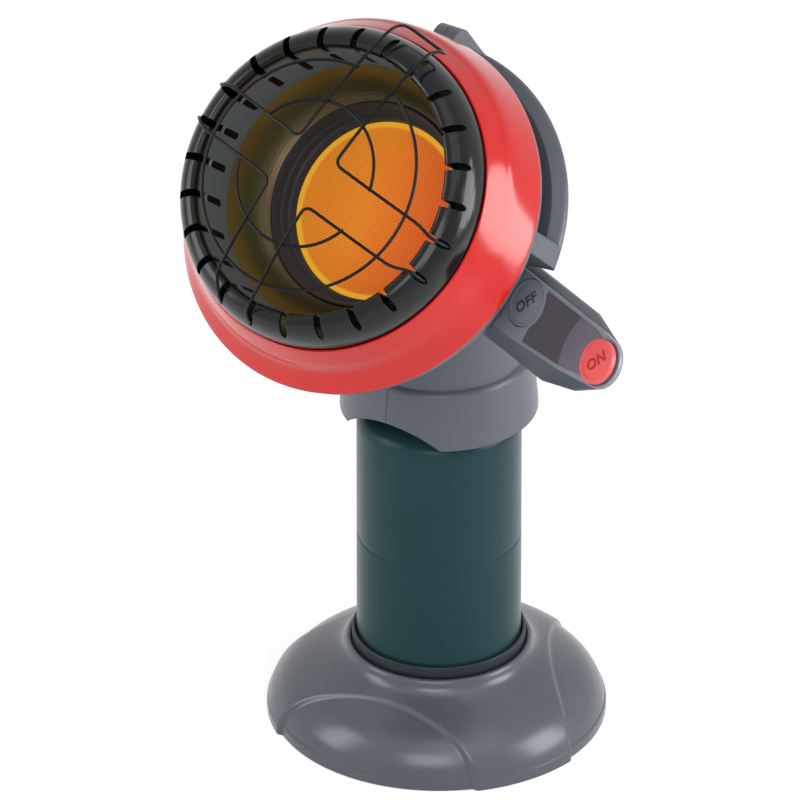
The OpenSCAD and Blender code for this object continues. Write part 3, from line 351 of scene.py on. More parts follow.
@dataclass
class Tree:
    """A node tree with short ways to add and link nodes.

    Args:
        tree: The tree itself.
    """

    tree: bpy.types.NodeTree

    def feed(self, node: bpy.types.Node, inputs: dict[Any, Any]) -> None:
        """Sets or links inputs of a node.

        Args:
            node: The node.
            inputs: A value or a socket for each input, by name or number.
        """
        for key, value in inputs.items():
            if isinstance(value, Socket):
                self.tree.links.new(value, node.inputs[key])
            else:
                node.inputs[key].default_value = value

    def add(self, kind: str, inputs: dict[Any, Any] | None = None,
            **settings: Any) -> bpy.types.Node:
        """Adds a node.

        Args:
            kind: Its type, without the leading words that all shader nodes share.
            inputs: A value or a socket for each input that isn't left as it is.
            **settings: Its properties.

        Returns:
            The node.
        """
        node = self.tree.nodes.new("ShaderNode" + kind)
        for key, value in settings.items():
            setattr(node, key, value)
        self.feed(node, inputs or {})
        return node

    def math(self, operation: str, a: Any, b: Any = 0.0, clamp: bool = False) -> Socket:
        """Returns the result of one sum on values or sockets."""
        return self.add("Math", {0: a, 1: b}, operation=operation, use_clamp=clamp).outputs[0]

    def measure(self, operation: str, *vectors: Any) -> Socket:
        """Returns one number that is measured on vectors, such as a length."""
        node = self.add("VectorMath", dict(enumerate(vectors)), operation=operation)
        return node.outputs["Value"]

    def blend(self, fac: Any, a: Any, b: Any) -> Socket:
        """Returns a colour between a and b."""
        return self.add("Mix", {0: fac, 6: a, 7: b}, data_type="RGBA").outputs[2]

    def span(self, value: Socket, low: float, high: float, to_low: float = 0.0,
             to_high: float = 1.0) -> Socket:
        """Returns a value eased from one range to another, and held within it."""
        ends = {0: value, 1: low, 2: high, 3: to_low, 4: to_high}
        return self.add("MapRange", ends, interpolation_type="SMOOTHSTEP").outputs[0]

    def place(self) -> Socket:
        """Returns the shaded point in the object's frame, in metres."""
        return self.add("TexCoord").outputs["Object"]

    def split(self, vector: Socket) -> Any:
        """Returns a vector's X, Y and Z by name."""
        return self.add("SeparateXYZ", {0: vector}).outputs

    def noise(self, scale: Any, detail: float, rough: float = 0.5) -> Socket:
        """Returns a noise from 0 to 1 that is fixed to the object."""
        inputs = {"Vector": self.place(), "Scale": scale, "Detail": detail, "Roughness": rough}
        return self.add("TexNoise", inputs).outputs[0]


def new_group(name: str, ins: dict[str, tuple[str, Any]],
              outs: dict[str, str]) -> tuple[Tree, Any, bpy.types.Node]:
    """Makes an empty shader group.

    Args:
        name: Name of the group.
        ins: Inputs as name to (socket kind, default).
        outs: Outputs as name to socket kind.

    Returns:
        The tree, what its inputs give, and the node that takes its outputs.
    """
    group = bpy.data.node_groups.new(name, "ShaderNodeTree")
    for key, (kind, default) in ins.items():
        socket = group.interface.new_socket(key, in_out="INPUT", socket_type="NodeSocket" + kind)
        socket.default_value = default
    for key, kind in outs.items():
        group.interface.new_socket(key, in_out="OUTPUT", socket_type="NodeSocket" + kind)
    entry, leave = group.nodes.new("NodeGroupInput"), group.nodes.new("NodeGroupOutput")
    return Tree(group), entry.outputs, leave


def grain_group() -> bpy.types.NodeTree:
    """Builds the fine grain and slow mottle of a moulded or sprayed surface.

    Returns:
        The group.
    """
    ins = {"Scale": ("Float", 1500.0), "Mottle scale": ("Float", 18.0)}
    t, given, leave = new_group("Surface grain", ins, {"Height": "Float", "Mottle": "Float"})
    fine = t.noise(given["Scale"], 3.0, 0.6)
    cells = t.add("TexVoronoi", {"Vector": t.place(), "Scale": given["Scale"]}, feature="SMOOTH_F1")
    height = t.math("ADD", t.math("MULTIPLY", fine, 0.7), t.math("MULTIPLY", cells.outputs[0], 0.3))
    t.feed(leave, {"Height": height, "Mottle": t.noise(given["Mottle scale"], 1.5)})
    return t.tree


def edge_group() -> bpy.types.NodeTree:
    """Builds a mask of the edges, broken up by noise, for wear and, on the base, a painted
    highlight.

    Returns:
        The group.
    """
    ins = {"Radius": ("Float", 0.0012), "Breakup": ("Float", 220.0)}
    t, given, leave = new_group("Worn and sheened edges", ins, {"Mask": "Float"})
    normal = t.add("NewGeometry").outputs["Normal"]
    soft = t.add("Bevel", {"Radius": given["Radius"]}, samples=BEVEL_SAMPLES).outputs[0]
    edge = t.span(t.measure("DOT_PRODUCT", normal, soft), 0.995, 0.80)
    patches = t.span(t.noise(given["Breakup"], 3.0), 0.42, 0.62)
    t.feed(leave, {"Mask": t.math("MULTIPLY", edge, patches)})
    return t.tree


def dust_group() -> bpy.types.NodeTree:
    """Builds a mask of the faint dust that settles on upward faces.

    Returns:
        The group.
    """
    t, given, leave = new_group("Settled dust", {"Amount": ("Float", 0.3)}, {"Mask": "Float"})
    up = t.split(t.add("NewGeometry").outputs["Normal"])["Z"]
    mask = t.math("MULTIPLY", t.span(up, -0.2, 1.0), t.noise(60.0, 1.5))
    t.feed(leave, {"Mask": t.math("MULTIPLY", mask, given["Amount"])})
    return t.tree


class Effect(Enum):
    """Shader effects that several finishes share, each built once."""

    GRAIN = "Surface grain"
    EDGES = "Worn and sheened edges"
    DUST = "Settled dust"

    def place(self, t: Tree, **values: float) -> dict[str, Socket]:
        """Places the effect in a tree.

        Args:
            t: The tree.
            **values: Its own values for the effect's inputs.

        Returns:
            The effect's outputs by name.
        """
        made = bpy.data.node_groups.get(self.value) or BUILDERS[self]()
        node = t.add("Group", values, node_tree=made)
        return {o.name: o for o in node.outputs}


BUILDERS: dict[Effect, Callable[[], bpy.types.NodeTree]] = {
    Effect.GRAIN: grain_group, Effect.EDGES: edge_group, Effect.DUST: dust_group}


# ---------- finishes ----------

COAT_ROUGH = 0.06
DUST_COLOR = srgb(150, 148, 142)
DUST_ROUGH = 0.3
WEAR_AND_SHEEN = 0.55
EDGE_RADIUS = 0.0011


@dataclass(frozen=True)
class Finish:
    """A finish that turns into one material.

    Args:
        name: Name of the material.
        slot: Material slot of the record that it belongs to; not used.
        color: Main colour.
        rough: Roughness.
        metallic: Whether it is bare metal, from 0 to 1.
        coat: Weight of the clear coat.
        specular: Specular level.
        grain: Scale of the fine grain.
        bump: Depth of the fine grain, in metres.
        soften: Radius of the softened edges, in metres, or 0 where the mesh has them.
        wear_and_sheen: Colour of the edges, which is wear, and on the base also a painted highlight
            along its crests, or None.
        dust: Amount of settled dust.
    """

    name: str
    slot: str
    color: Color
    rough: float = 0.4
    metallic: float = 0.0
    coat: float = 0.0
    specular: float = 0.3
    grain: float = 1500.0
    bump: float = 0.00004
    soften: float = 0.0
    wear_and_sheen: Color | None = None
    dust: float = 0.0

    def material(self) -> bpy.types.Material:
        """Makes the finish's material, once.

        Returns:
            The material.
        """
        found = bpy.data.materials.get(self.name)
        if found:
            return found
        mat = bpy.data.materials.new(self.name)
        mat.use_nodes = True
        t = Tree(mat.node_tree)
        shader = mat.node_tree.nodes["Principled BSDF"]
        grain = Effect.GRAIN.place(t, Scale=self.grain)
        base, rough = self.paint(t, grain), self.roughness(t, grain)
        if self.wear_and_sheen:
            edges = Effect.EDGES.place(t, Radius=EDGE_RADIUS)["Mask"]
            base = t.blend(t.math("MULTIPLY", edges, WEAR_AND_SHEEN), base, self.wear_and_sheen)
        if self.dust:
            dust = Effect.DUST.place(t, Amount=self.dust)["Mask"]
            base = t.blend(dust, base, DUST_COLOR)
            rough = t.math("ADD", rough, t.math("MULTIPLY", dust, DUST_ROUGH), clamp=True)
        bump = t.add("Bump", {"Height": grain["Height"], "Distance": self.bump, "Strength": 1.0})
        if self.soften:
            bevel = t.add("Bevel", {"Radius": self.soften}, samples=BEVEL_SAMPLES)
            t.feed(bump, {"Normal": bevel.outputs[0]})
        t.feed(shader, {
            "Metallic": self.metallic, "Coat Weight": self.coat, "Coat Roughness": COAT_ROUGH,
            "Specular IOR Level": self.specular, "Base Color": base, "Roughness": rough,
            "Normal": bump.outputs[0]})
        self.glow(t, shader)
        return mat

    def paint(self, t: Tree, grain: dict[str, Socket]) -> Socket:
        """Returns the base colour, which is the main colour with a slow mottle."""
        ends = [tuple(min(c * k, 1.0) for c in self.color[:3]) + (1.0,) for k in (0.94, 1.05)]
        return t.blend(t.span(grain["Mottle"], 0.2, 0.8), *ends)

    def roughness(self, t: Tree, grain: dict[str, Socket]) -> Socket:
        """Returns the roughness, which varies slowly."""
        return t.span(grain["Mottle"], 0.2, 0.8, self.rough * 0.92, self.rough * 1.10)

    def stained(self, t: Tree, grain: dict[str, Socket], base: Socket, stain: Color,
                amount: float) -> Socket:
        """Returns a colour with soft patches of a stain on it, up to an amount."""
        return t.blend(t.span(grain["Mottle"], 0.35, 0.7, 0.0, amount), base, stain)

    def glow(self, t: Tree, shader: bpy.types.Node) -> None:
        """Adds what shines by itself, which is nothing on a plain finish."""


def head_point(t: Tree) -> Socket:
    """Moves the shaded point into the dish's own frame.

    Args:
        t: Tree of the material.

    Returns:
        The point, in metres.
    """
    place = Place.HEAD.value
    inputs = {0: t.place(), 1: place.translation}
    shift = t.add("VectorMath", inputs, operation="SUBTRACT").outputs[0]
    parts = {i: t.measure("DOT_PRODUCT", shift, place.col[i].to_3d()) for i in range(3)}
    return t.add("CombineXYZ", parts).outputs[0]


def from_axis(t: Tree, parts: Any) -> Socket:
    """Returns the distance of a split point from the dish's axis."""
    flat = t.add("CombineXYZ", {0: parts["X"], 1: parts["Y"]}).outputs[0]
    return t.measure("LENGTH", flat)


@dataclass(frozen=True)
class RolledEnamel(Finish):
    """Gloss enamel of the rolled ring, rougher on its inner wall, whose grey is painted light:
    lighter and bluer than the enamel, against the dish's shade and the tile's orange glow.

    Args:
        wall_lightened: Colour of the inner wall, painted lighter and bluer as light against shade.
        wall_r: Radius within which it is dull, in metres.
        wall_z: Height below which it is dull, in metres.
        dulling: How much rougher the inner wall is.
    """

    # The inner wall's grey is painted light, set lighter and bluer against the shade and the tile's
    # orange glow.
    wall_lightened: Color = srgb(93, 113, 117)
    wall_r: float = 0.0812
    wall_z: float = 0.0170
    dulling: float = 0.45

    def wall(self, t: Tree) -> Socket:
        """Builds a mask of the inner wall.

        Args:
            t: Tree of the material.

        Returns:
            The mask.
        """
        parts = t.split(head_point(t))
        near = t.span(from_axis(t, parts), self.wall_r + 0.0004, self.wall_r - 0.0004)
        deep = t.span(parts["Z"], self.wall_z + 0.004, self.wall_z)
        return t.math("MULTIPLY", near, deep)

    def paint(self, t: Tree, grain: dict[str, Socket]) -> Socket:
        """Returns the enamel's colour, and the painted-light grey on the inner wall."""
        return t.blend(self.wall(t), super().paint(t, grain), self.wall_lightened)

    def roughness(self, t: Tree, grain: dict[str, Socket]) -> Socket:
        """Returns the roughness, which is high on the inner wall."""
        dull = t.math("MULTIPLY", self.wall(t), self.dulling)
        return t.math("ADD", super().roughness(t, grain), dull, clamp=True)


@dataclass(frozen=True)
class SpunDish(Finish):
    """Polished dish with fine spinning rings, painted olive as a reflection and lighter against its
    shade, browner towards its throat.

    Args:
        tint: Colour near the throat.
        tint_span: Heights between which the tint comes in, in metres.
        groove: Colour of the spinning rings.
        groove_scale: Scale of the rings.
        groove_share: How strong the rings are.
        stain: Colour of the heat stains.
        stain_share: How strong the stains are.
    """

    tint: Color = srgb(70, 56, 36)
    tint_span: Point = (-0.018, -0.046)
    groove: Color = srgb(44, 42, 26)
    groove_scale: float = 160.0
    groove_share: float = 0.22
    stain: Color = srgb(92, 66, 44)
    stain_share: float = 0.35

    def paint(self, t: Tree, grain: dict[str, Socket]) -> Socket:
        """Turns the main colour at the rim into the tint at the throat.

        Args:
            t: Tree of the material.
            grain: Outputs of the grain.

        Returns:
            The colour.
        """
        point = head_point(t)
        tinted = t.blend(t.span(t.split(point)["Z"], *self.tint_span), self.color, self.tint)
        inputs = {"Vector": point, "Scale": self.groove_scale, "Distortion": 0.4}
        rings = t.add("TexWave", inputs, wave_type="BANDS", bands_direction="Z").outputs["Fac"]
        spun = t.blend(t.math("MULTIPLY", rings, self.groove_share), tinted, self.groove)
        return self.stained(t, grain, spun, self.stain, self.stain_share)


@dataclass(frozen=True)
class GlowingTile(Finish):
    """Perforated ceramic tile that glows, hotter towards one side and yellow along its edge.

    Args:
        pitch: Distance between the holes, in metres.
        cool: Colour of the cooler side.
        cool_span: Places across the face between which it cools, in metres.
        rim: Colour of the bright edge.
        rim_span: Radii between which the edge brightens, in metres.
        rim_share: How strong the bright edge is.
        hole: Colour of the holes.
        hole_share: How strong the holes are.
        shine: Strength of the glow.
    """

    pitch: float = 0.0019
    cool: Color = srgb(220, 100, 42)
    cool_span: Point = (-0.034, 0.040)
    rim: Color = srgb(250, 186, 52)
    rim_span: Point = (0.0498, 0.0518)
    rim_share: float = 0.85
    hole: Color = srgb(168, 52, 14)
    hole_share: float = 0.55
    shine: float = 0.36

    def holes(self, t: Tree, parts: Any) -> Socket:
        """Builds a mask of two staggered rows of round holes.

        Args:
            t: Tree of the material.
            parts: The split point in the dish's frame.

        Returns:
            The mask.
        """
        masks = []
        for shift in (0.0, 0.5):
            squares = []
            for axis, step in (("X", self.pitch), ("Y", self.pitch * 1.732)):
                cell = t.math("FRACT", t.math("ADD", t.math("DIVIDE", parts[axis], step), shift))
                away = t.math("MULTIPLY", t.math("SUBTRACT", cell, 0.5), step)
                squares.append(t.math("MULTIPLY", away, away))
            away = t.math("SQRT", t.math("ADD", *squares))
            masks.append(t.span(away, self.pitch * 0.30, self.pitch * 0.20))
        return t.math("MAXIMUM", *masks)

    def paint(self, t: Tree, grain: dict[str, Socket]) -> Socket:
        """Paints the warm side, the holes and the bright edge.

        Args:
            t: Tree of the material.
            grain: Outputs of the grain.

        Returns:
            The colour.
        """
        parts = t.split(head_point(t))
        base = t.blend(t.span(parts["X"], *self.cool_span), self.color, self.cool)
        base = self.stained(t, grain, base, self.cool, 0.3)
        holes = t.math("MULTIPLY", self.holes(t, parts), self.hole_share)
        edge = t.span(from_axis(t, parts), *self.rim_span, 0.0, self.rim_share)
        return t.blend(edge, t.blend(holes, base, self.hole), self.rim)

    def glow(self, t: Tree, shader: bpy.types.Node) -> None:
        """Lets the tile's own colour shine."""
        color = shader.inputs["Base Color"].links[0].from_socket
        t.feed(shader, {"Emission Color": color, "Emission Strength": self.shine})


@dataclass(frozen=True)
class TwoToneLabel(Finish):
    """Satin label in two shades, parted by an arc round one button.

    Args:
        near: Shade inside the arc.
        rubbed: Colour where it is rubbed.
        centre: Middle of the arc, in metres.
        reach: Radius of the arc, in metres.
    """

    # This shade, like the label's main colour, is painted lighter as light against the shade on the
    # arm.
    near: Color = srgb(122, 114, 130)
    rubbed: Color = srgb(140, 134, 140)
    centre: Vector = (Place.PANEL.value @ (Vector((82.8, -0.3, 0)) * MM)).freeze()
    reach: float = 0.0365

    def paint(self, t: Tree, grain: dict[str, Socket]) -> Socket:
        """Paints the two shades.

        Args:
            t: Tree of the material.
            grain: Outputs of the grain.

        Returns:
            The colour.
        """
        away = t.measure("DISTANCE", t.place(), self.centre)
        inside = t.span(away, self.reach + 0.0001, self.reach - 0.0001)
        return self.stained(t, grain, t.blend(inside, self.color, self.near), self.rubbed, 0.12)


GREY = Finish("Grey plastic", "grey_plastic", srgb(83, 88, 98), rough=0.34, specular=0.45,
              grain=900, bump=0.00001, soften=0.0014, wear_and_sheen=srgb(126, 131, 141), dust=0.08)
GREY_SOFT = replace(GREY, name="Grey plastic, wide edges", soften=0.003, wear_and_sheen=None)
# A lighter copy of the grey plastic: painted light for the arm's face and the OFF button, which lie
# in shade.
GREY_FACE_LIGHTENED = replace(GREY, name="Grey plastic, arm face, lightened against shade", color=srgb(144, 151, 162),
                    soften=0.0008, wear_and_sheen=srgb(140, 146, 156), dust=0.06)
# The lighter edges here are partly wear and partly a painted highlight along the base's crests.
GREY_SMOOTH = Finish("Grey plastic, rounded", "grey_plastic", srgb(77, 82, 91), rough=0.25,
                     specular=0.5, grain=700, bump=0.000008, wear_and_sheen=srgb(100, 105, 114), dust=0.04)
# Lettering painted darker than the OFF button, as painted shade round the raised letters.
GREY_DEEP = Finish("Grey plastic, lettering", "grey_plastic", srgb(78, 84, 92), grain=1800)
DARK = Finish("Dark plastic", "dark_plastic", srgb(33, 40, 46), rough=0.42, bump=0.00003,
              soften=0.0005)
GREEN = Finish("Green cylinder paint", "bottle_green", srgb(26, 60, 64), rough=0.30,
               specular=0.14, grain=900, bump=0.00002, dust=0.04)
RED = Finish("Red gloss shell", "red_gloss", srgb(206, 22, 18), rough=0.16, coat=0.1,
             specular=0.4, bump=0.000004)
# The ON button's coral is painted lighter than the real paint, as light against the shade on the
# arm.
CORAL = Finish("Coral button", "on_coral", srgb(238, 98, 98), rough=0.36, specular=0.4,
               grain=1600, bump=0.00002, soften=0.0006, wear_and_sheen=srgb(240, 130, 126))
# Lettering painted darker than the ON button, as painted shade round the raised letters.
CORAL_DEEP = Finish("Coral button, lettering", "on_coral", srgb(188, 46, 48), grain=1600)
BLACK = RolledEnamel("Black enamel", "black_enamel", srgb(11, 13, 15), rough=0.16, coat=0.06,
                     specular=0.26, grain=700, bump=0.00001, soften=0.0009)
# The bezel's black is painted lighter and bluer than the real enamel, as light against the shade in
# the dish and the tile's orange glow.
BEZEL_LIGHTENED = Finish("Bezel black enamel, lightened against shade", "black_enamel", srgb(48, 56, 62), rough=0.5,
               specular=0.2, grain=900, soften=0.0012)
SHADE = Finish("Slot shade", "black_enamel", srgb(10, 11, 12), rough=0.7, specular=0.08,
               grain=900, bump=0.00001)
WIRE = Finish("Black wire", "guard_black", srgb(11, 12, 13), rough=0.22, specular=0.16,
              grain=1400, bump=0.00003)
RUBBER = Finish("Black rubber", "rubber_black", srgb(26, 26, 27), rough=0.72, grain=1200,
                bump=0.00008, soften=0.0006)
# The dish's olive colour is a painted reflection of the tile, the ring and the surround, set
# lighter against the shade in the dish.
DISH = SpunDish("Spun dish, painted reflection", "mirror_steel", srgb(112, 126, 78), rough=0.34, metallic=0.65,
                grain=600, bump=0.00001)
STEEL = Finish("Pressed steel", "steel", srgb(150, 152, 156), rough=0.36, metallic=1.0,
               grain=900, soften=0.0004)
ZINC = Finish("Die-cast zinc", "zinc", srgb(152, 154, 158), rough=0.5, metallic=1.0,
              grain=500, bump=0.00008, soften=0.0006)
SCREWS = Finish("Plated screws", "screw_steel", srgb(160, 162, 166), rough=0.3, metallic=1.0,
                soften=0.0003)
BRASS = Finish("Turned brass", "brass", srgb(190, 158, 88), rough=0.3, metallic=1.0,
               grain=700, soften=0.0003)
COPPER = Finish("Drawn copper", "copper", srgb(186, 116, 82), rough=0.34, metallic=1.0, grain=900)
CERAMIC = Finish("White ceramic", "white_fibre", srgb(214, 211, 203), rough=0.55, soften=0.0003)
# The tile's colours are set lighter than the real ones, painted light against the shade in the
# dish; the glow is the burner's own.
TILE = GlowingTile("Glowing tile", "tile_orange", srgb(240, 150, 44), rough=0.8, specular=0.1,
                   grain=1300, bump=0.00012)
# The label's shades are painted lighter than the real ones, as light against the shade on the arm.
LABEL = TwoToneLabel("Two-tone label", "label_charcoal", srgb(94, 89, 96), rough=0.36,
                     specular=0.4, grain=2000, bump=0.00001)
LEAD = Finish("Black lead", "lead_black", srgb(22, 22, 23), rough=0.5, grain=1600)

PLAIN_NODES: dict[Finish, tuple[str, ...]] = {
    GREY: ("housing_left", "housing_right"),
    GREY_FACE_LIGHTENED: ("control_panel", "off_button"),
    GREY_SOFT: ("arm_shell",),
    DARK: ("button_guide", "piezo_igniter"),
    RUBBER: ("base_pad", "inlet_seal"),
    CORAL: ("on_button",),
    BLACK: ("trim_ring",),
    BEZEL_LIGHTENED: ("burner_bezel",),
    DISH: ("reflector",),
    STEEL: ("heat_shield", "burner_plenum", "mixer_tube", "pilot_bracket", "thermocouple"),
    ZINC: ("regulator_body", "regulator_cap"),
    SCREWS: ("housing_screws", "regulator_screws", "panel_screws"),
    BRASS: ("bottle_valve", "bottle_relief", "depress_pin", "supply_tube", "valve_body",
            "feed_tube", "gas_jet"),
    CERAMIC: ("tile_gasket", "spark_electrode", "tip_switch"),
    COPPER: ("thermocouple_lead",),
    LEAD: ("igniter_lead",),
}


def dress_nodes() -> None:
    """Gives every frame node that stays its finish."""
    for finish, names in PLAIN_NODES.items():
        for name in names:
            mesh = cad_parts[name].data
            mesh.materials.clear()
            mesh.materials.append(finish.material())
        log.info("%s: %s", finish.name, ", ".join(names))


# ---------- sub-assemblies ----------


@dataclass
class Stand:
    """The flared base and the dark sleeve that the cylinder stands in. Sizes in millimetres.

    Args:
        rim_r: Outer radius of the base.
        rim_curl: Radius of its rounded rim.
        rim_z: Height of its lower edge.
        wall: Thickness of the bell.
        socket_r: Radius of its mouth.
        socket_lip: Radius of the mouth's rounded lip.
        collar_z: Height of the mouth.
        facet_reach: Radius at which a facet's edge comes nearest to the axis.
        facet_bow: Radius of that edge's own curve.
        facet_turn: Turn of the facets round the axis, in degrees.
        facet_depth: Depth of a facet at the rim.
        facet_ease: Width of the step at its edge.
        sleeve_r: Outer radius of the sleeve.
        sleeve_wall: Its thickness.
        sleeve_lip: Radius of its rounded lip.
        sleeve_hole: Radius of the hole in its floor.
        sleeve_foot: Height of its underside.
        sleeve_top: Height of its lip.
    """

    rim_r: float = 103.58
    rim_curl: float = 5.0
    rim_z: float = 0.7
    wall: float = 4.5
    socket_r: float = 52.35
    socket_lip: float = 2.0
    collar_z: float = 50.0
    facet_reach: float = 67.0
    facet_bow: float = 204.0
    facet_turn: float = 4.5
    facet_depth: float = 2.6
    facet_ease: float = 2.8
    sleeve_r: float = 52.3
    sleeve_wall: float = 2.3
    sleeve_lip: float = 0.9
    sleeve_hole: float = 20.0
    sleeve_foot: float = 22.4
    sleeve_top: float = 57.0

    def facet(self, angle: float, r: float) -> float:
        """Says how far inside a crescent facet a point is.

        Args:
            angle: The point's angle, in degrees.
            r: Its radius.

        Returns:
            A share from 0, outside, to 1, inside.
        """
        best = -math.inf
        for i in range(3):
            centre = polar(self.facet_reach + self.facet_bow, -90 + self.facet_turn + 120 * i, 0)
            best = max(best, self.facet_bow - (polar(r, angle, 0) - centre).length)
        t = min(max(best / self.facet_ease + 0.5, 0.0), 1.0)
        return t * t * (3 - 2 * t)

    def build(self) -> None:
        """Builds the bell and the sleeve."""
        self.build_bell()
        self.build_sleeve()

    def build_bell(self) -> None:
        """Builds the bell, which is set back inside its three facets."""
        s, z, r = self.socket_r, self.collar_z, self.rim_r
        soft, curl = self.socket_lip, self.rim_curl
        lip = [(s, z - soft)] + arc(s + soft, z - soft, soft, 180, 40, 10)
        slope = bezier((s + 4.2, z - 3), (s + 7.7, z - 16), (r - 9.4, z - 12), (r - 0.9, 8), 44)
        outer = lip + slope + arc(r - curl, curl, curl, 30, 0, 6) + [(r - 0.1, self.rim_z)]
        inner = [p for p in beside(slope, -self.wall) if p[1] > 4]
        inside = [(r - self.wall, self.rim_z)] + inner[::-1] + [(s, z - 14)]
        start, end = len(lip), len(lip) + len(slope)
        normals = [(o[0] - p[0], o[1] - p[1]) for o, p in zip(beside(outer, 1.0), outer)]

        def shape(angle: float, k: int) -> Point:
            """Sets a point of the bell's outer face back inside a facet.

            Args:
                angle: Angle round the axis, in degrees.
                k: Index in the profile.

            Returns:
                The point as (radius, height).
            """
            if k < start or k >= len(outer):
                return (outer + inside)[k]
            r, z = outer[k]
            share = min((k - start) / (end - 1 - start), 1.0)
            d = self.facet_depth * (0.3 + 0.7 * share) * self.facet(angle, r)
            nx, nz = normals[k] if k < end else (1.0, 0.0)
            return (r - abs(nx) * d, z - abs(nz) * d)

        form = Form().lathe(outer + inside, 540, shape=shape)
        form.build("base_bell_skin", Place.FLOOR, GREY_SMOOTH, "base", 50, ("base_bell",))

    def build_sleeve(self) -> None:
        """Builds the cup that the cylinder stands in."""
        r, w, lip, hole = self.sleeve_r, self.sleeve_wall, self.sleeve_lip, self.sleeve_hole
        top, foot = self.sleeve_top, self.sleeve_foot
        ring = [(hole, foot), (r - 0.6, foot), (r, foot + 0.6), (r, top - lip)]
        ring += arc(r - lip, top - lip, lip, 0, 90, 4)
        ring += arc(r - w + lip, top - lip, lip, 90, 180, 4)
        ring += [(r - w, foot + w + 0.8), (r - w - 0.8, foot + w), (hole, foot + w)]
        form = Form().lathe(ring)
        form.build("base_sleeve_skin", Place.FLOOR, DARK, "base", 50, ("base_sleeve",))


@dataclass
class Cylinder:
    """The gas cylinder: two drawn halves and a threaded collar. Sizes in millimetres.

    Args:
        radius: Outer radius.
        foot_z: Height of its foot.
        heel: Radius of the lower bend.
        body: Height of the straight wall's end above the foot.
        seam_z: Height of the girth seam.
        seam_below: Inset and height of the line's points under the seam.
        seam_above: Inset and height of the line's points over the seam.
        wall: Thickness.
        land_r: Radius of the crown under the collar.
        crown_z: Height of the crown.
        collar_r: Radius over the thread.
        collar_z: Height of the collar's end.
        bore: Radius of the collar's bore.
        pitch: Pitch of the thread.
        thread: Depth of the thread.
    """

    radius: float = 49.5
    foot_z: float = 25.0
    heel: float = 8.0
    body: float = 172.0
    seam_z: float = 124.6
    seam_below: tuple[Point, ...] = ((0, -3), (0, -1.6), (0.22, -1.0), (0.32, -0.4), (0.32, 0))
    seam_above: tuple[Point, ...] = ((0.32, 0.05), (0.3, 0.5), (0.1, 1.1), (0, 1.8))
    wall: float = 1.0
    land_r: float = 16.7
    crown_z: float = 212.0
    collar_r: float = 12.7
    collar_z: float = 228.0
    bore: float = 4.6
    pitch: float = 1.27
    thread: float = 0.48

    def shell(self, outer: list[Point], name: str, node: str) -> None:
        """Builds one drawn half from its outer line."""
        inner = [(max(p[0], 0.0), p[1]) for p in beside(outer, self.wall)]
        Form().lathe(outer + inner[::-1]).build(name, Place.FLOOR, GREEN, "bottle", 40, (node,))

    def build(self) -> None:
        """Builds both halves with the seam between them, and the collar with its thread."""
        r, z, h, crown = self.radius, self.foot_z, self.heel, self.crown_z
        lower = [(0, z + 7), (18, z + 6), (r - 18, z + 2)] + arc(r - h, z + h, h, -100, 0, 14)
        lower += [(r - inset, self.seam_z + rise) for inset, rise in self.seam_below]
        self.shell(lower, "bottle_lower_skin", "bottle_lower")
        upper = [(r - inset, self.seam_z + rise) for inset, rise in self.seam_above]
        end = z + self.body
        upper += [(r, end)] + bezier((r, end + 0.5), (r, end + 14.3), (r - 12, crown - 3),
                                     (self.land_r, crown), 24)
        self.shell(upper, "bottle_upper_skin", "bottle_upper")
        self.build_collar()

    def build_collar(self) -> None:
        """Builds the collar, whose thread winds round it and runs out at both ends."""
        land, top, low, bore = self.land_r, self.collar_z, self.crown_z, self.bore
        root, sides, steps, run_out, flank = self.collar_r - 0.5, 96, 110, 8, 2.6
        foot = [(land - 0.55, low - 2), (land - 0.5, low + 0.06), (land + 1.5, low + 0.06),
                (land + 1.5, low + 2.5), (root, low + 2.6)]
        mouth = [(root - 0.3, top), (bore + 0.4, top), (bore, top - 0.4), (bore, low - 2)]
        rows = []
        for i in range(sides):
            a = 360 * i / sides
            thread = []
            for k, z in enumerate(even(low + 3, top - 0.8, steps)):
                phase = (z / self.pitch - a / 360) % 1
                fade = min(k / run_out, (steps - k) / run_out, 1)
                ridge = max(0.0, 1 - abs(phase - 0.5) * flank)
                thread.append((root + self.thread * fade * ridge, z))
            rows.append([polar(p[0], a, p[1]) for p in foot + thread + mouth])
        form = Form().sheet(rows, wrap_rows=True, wrap_cols=True)
        form.build("bottle_collar_skin", Place.FLOOR, GREEN, "bottle", 40, ("bottle_collar",))


@dataclass
class Shell:
    """The red shell behind the front ring. Sizes in millimetres.

    Args:
        rim_r: Radius at the front ring.
        rear_r: Radius of the wider rear edge.
        wall: Thickness.
        flare: The front's outer line, as shifts from the rim's radius and heights.
        lip: The same for the rolled-in lip.
        steps: Number of steps round the axis.
    """

    rim_r: float = 99.0
    rear_r: float = 114.25
    wall: float = 2.2
    flare: tuple[Point, ...] = ((-0.35, 0.35), (0.15, -0.6), (1.8, -4), (5, -11), (8.8, -20))
    lip: tuple[Point, ...] = ((-1.2, -2.6), (-1.6, -0.8), (-1.3, 0.3))
    steps: int = 216

    def edge(self, inset: float, angle: float, z: float) -> Vector:
        """Returns a point of the rear edge, which is round in the rear frame."""
        return carried(polar(self.rear_r - inset, angle, z), Place.REAR, Place.HEAD)

    def build(self) -> None:
        """Builds the shell as a smooth loft with a rounded front lip and rear edge."""
        r, w = self.rim_r, self.wall
        rows = []
        for i in range(self.steps):
            a = 360 * i / self.steps
            outer = [polar(r + x, a, z) for x, z in self.flare]
            outer += [self.edge(0.05, a, 1.6), self.edge(0.25, a, 0.3)]
            inner = [self.edge(w - 0.2, a, 0.05)]
            inner += [polar(r + x - w, a, z) for x, z in reversed(self.flare[3:])]
            inner += [polar(r + x, a, z) for x, z in self.lip]
            rows.append(spline(outer, 7) + spline(inner, 4))
        form = Form().sheet(rows, wrap_rows=True, wrap_cols=True)
        form.build("red_shell_skin", Place.HEAD, RED, "head", 60, ("red_shell",))


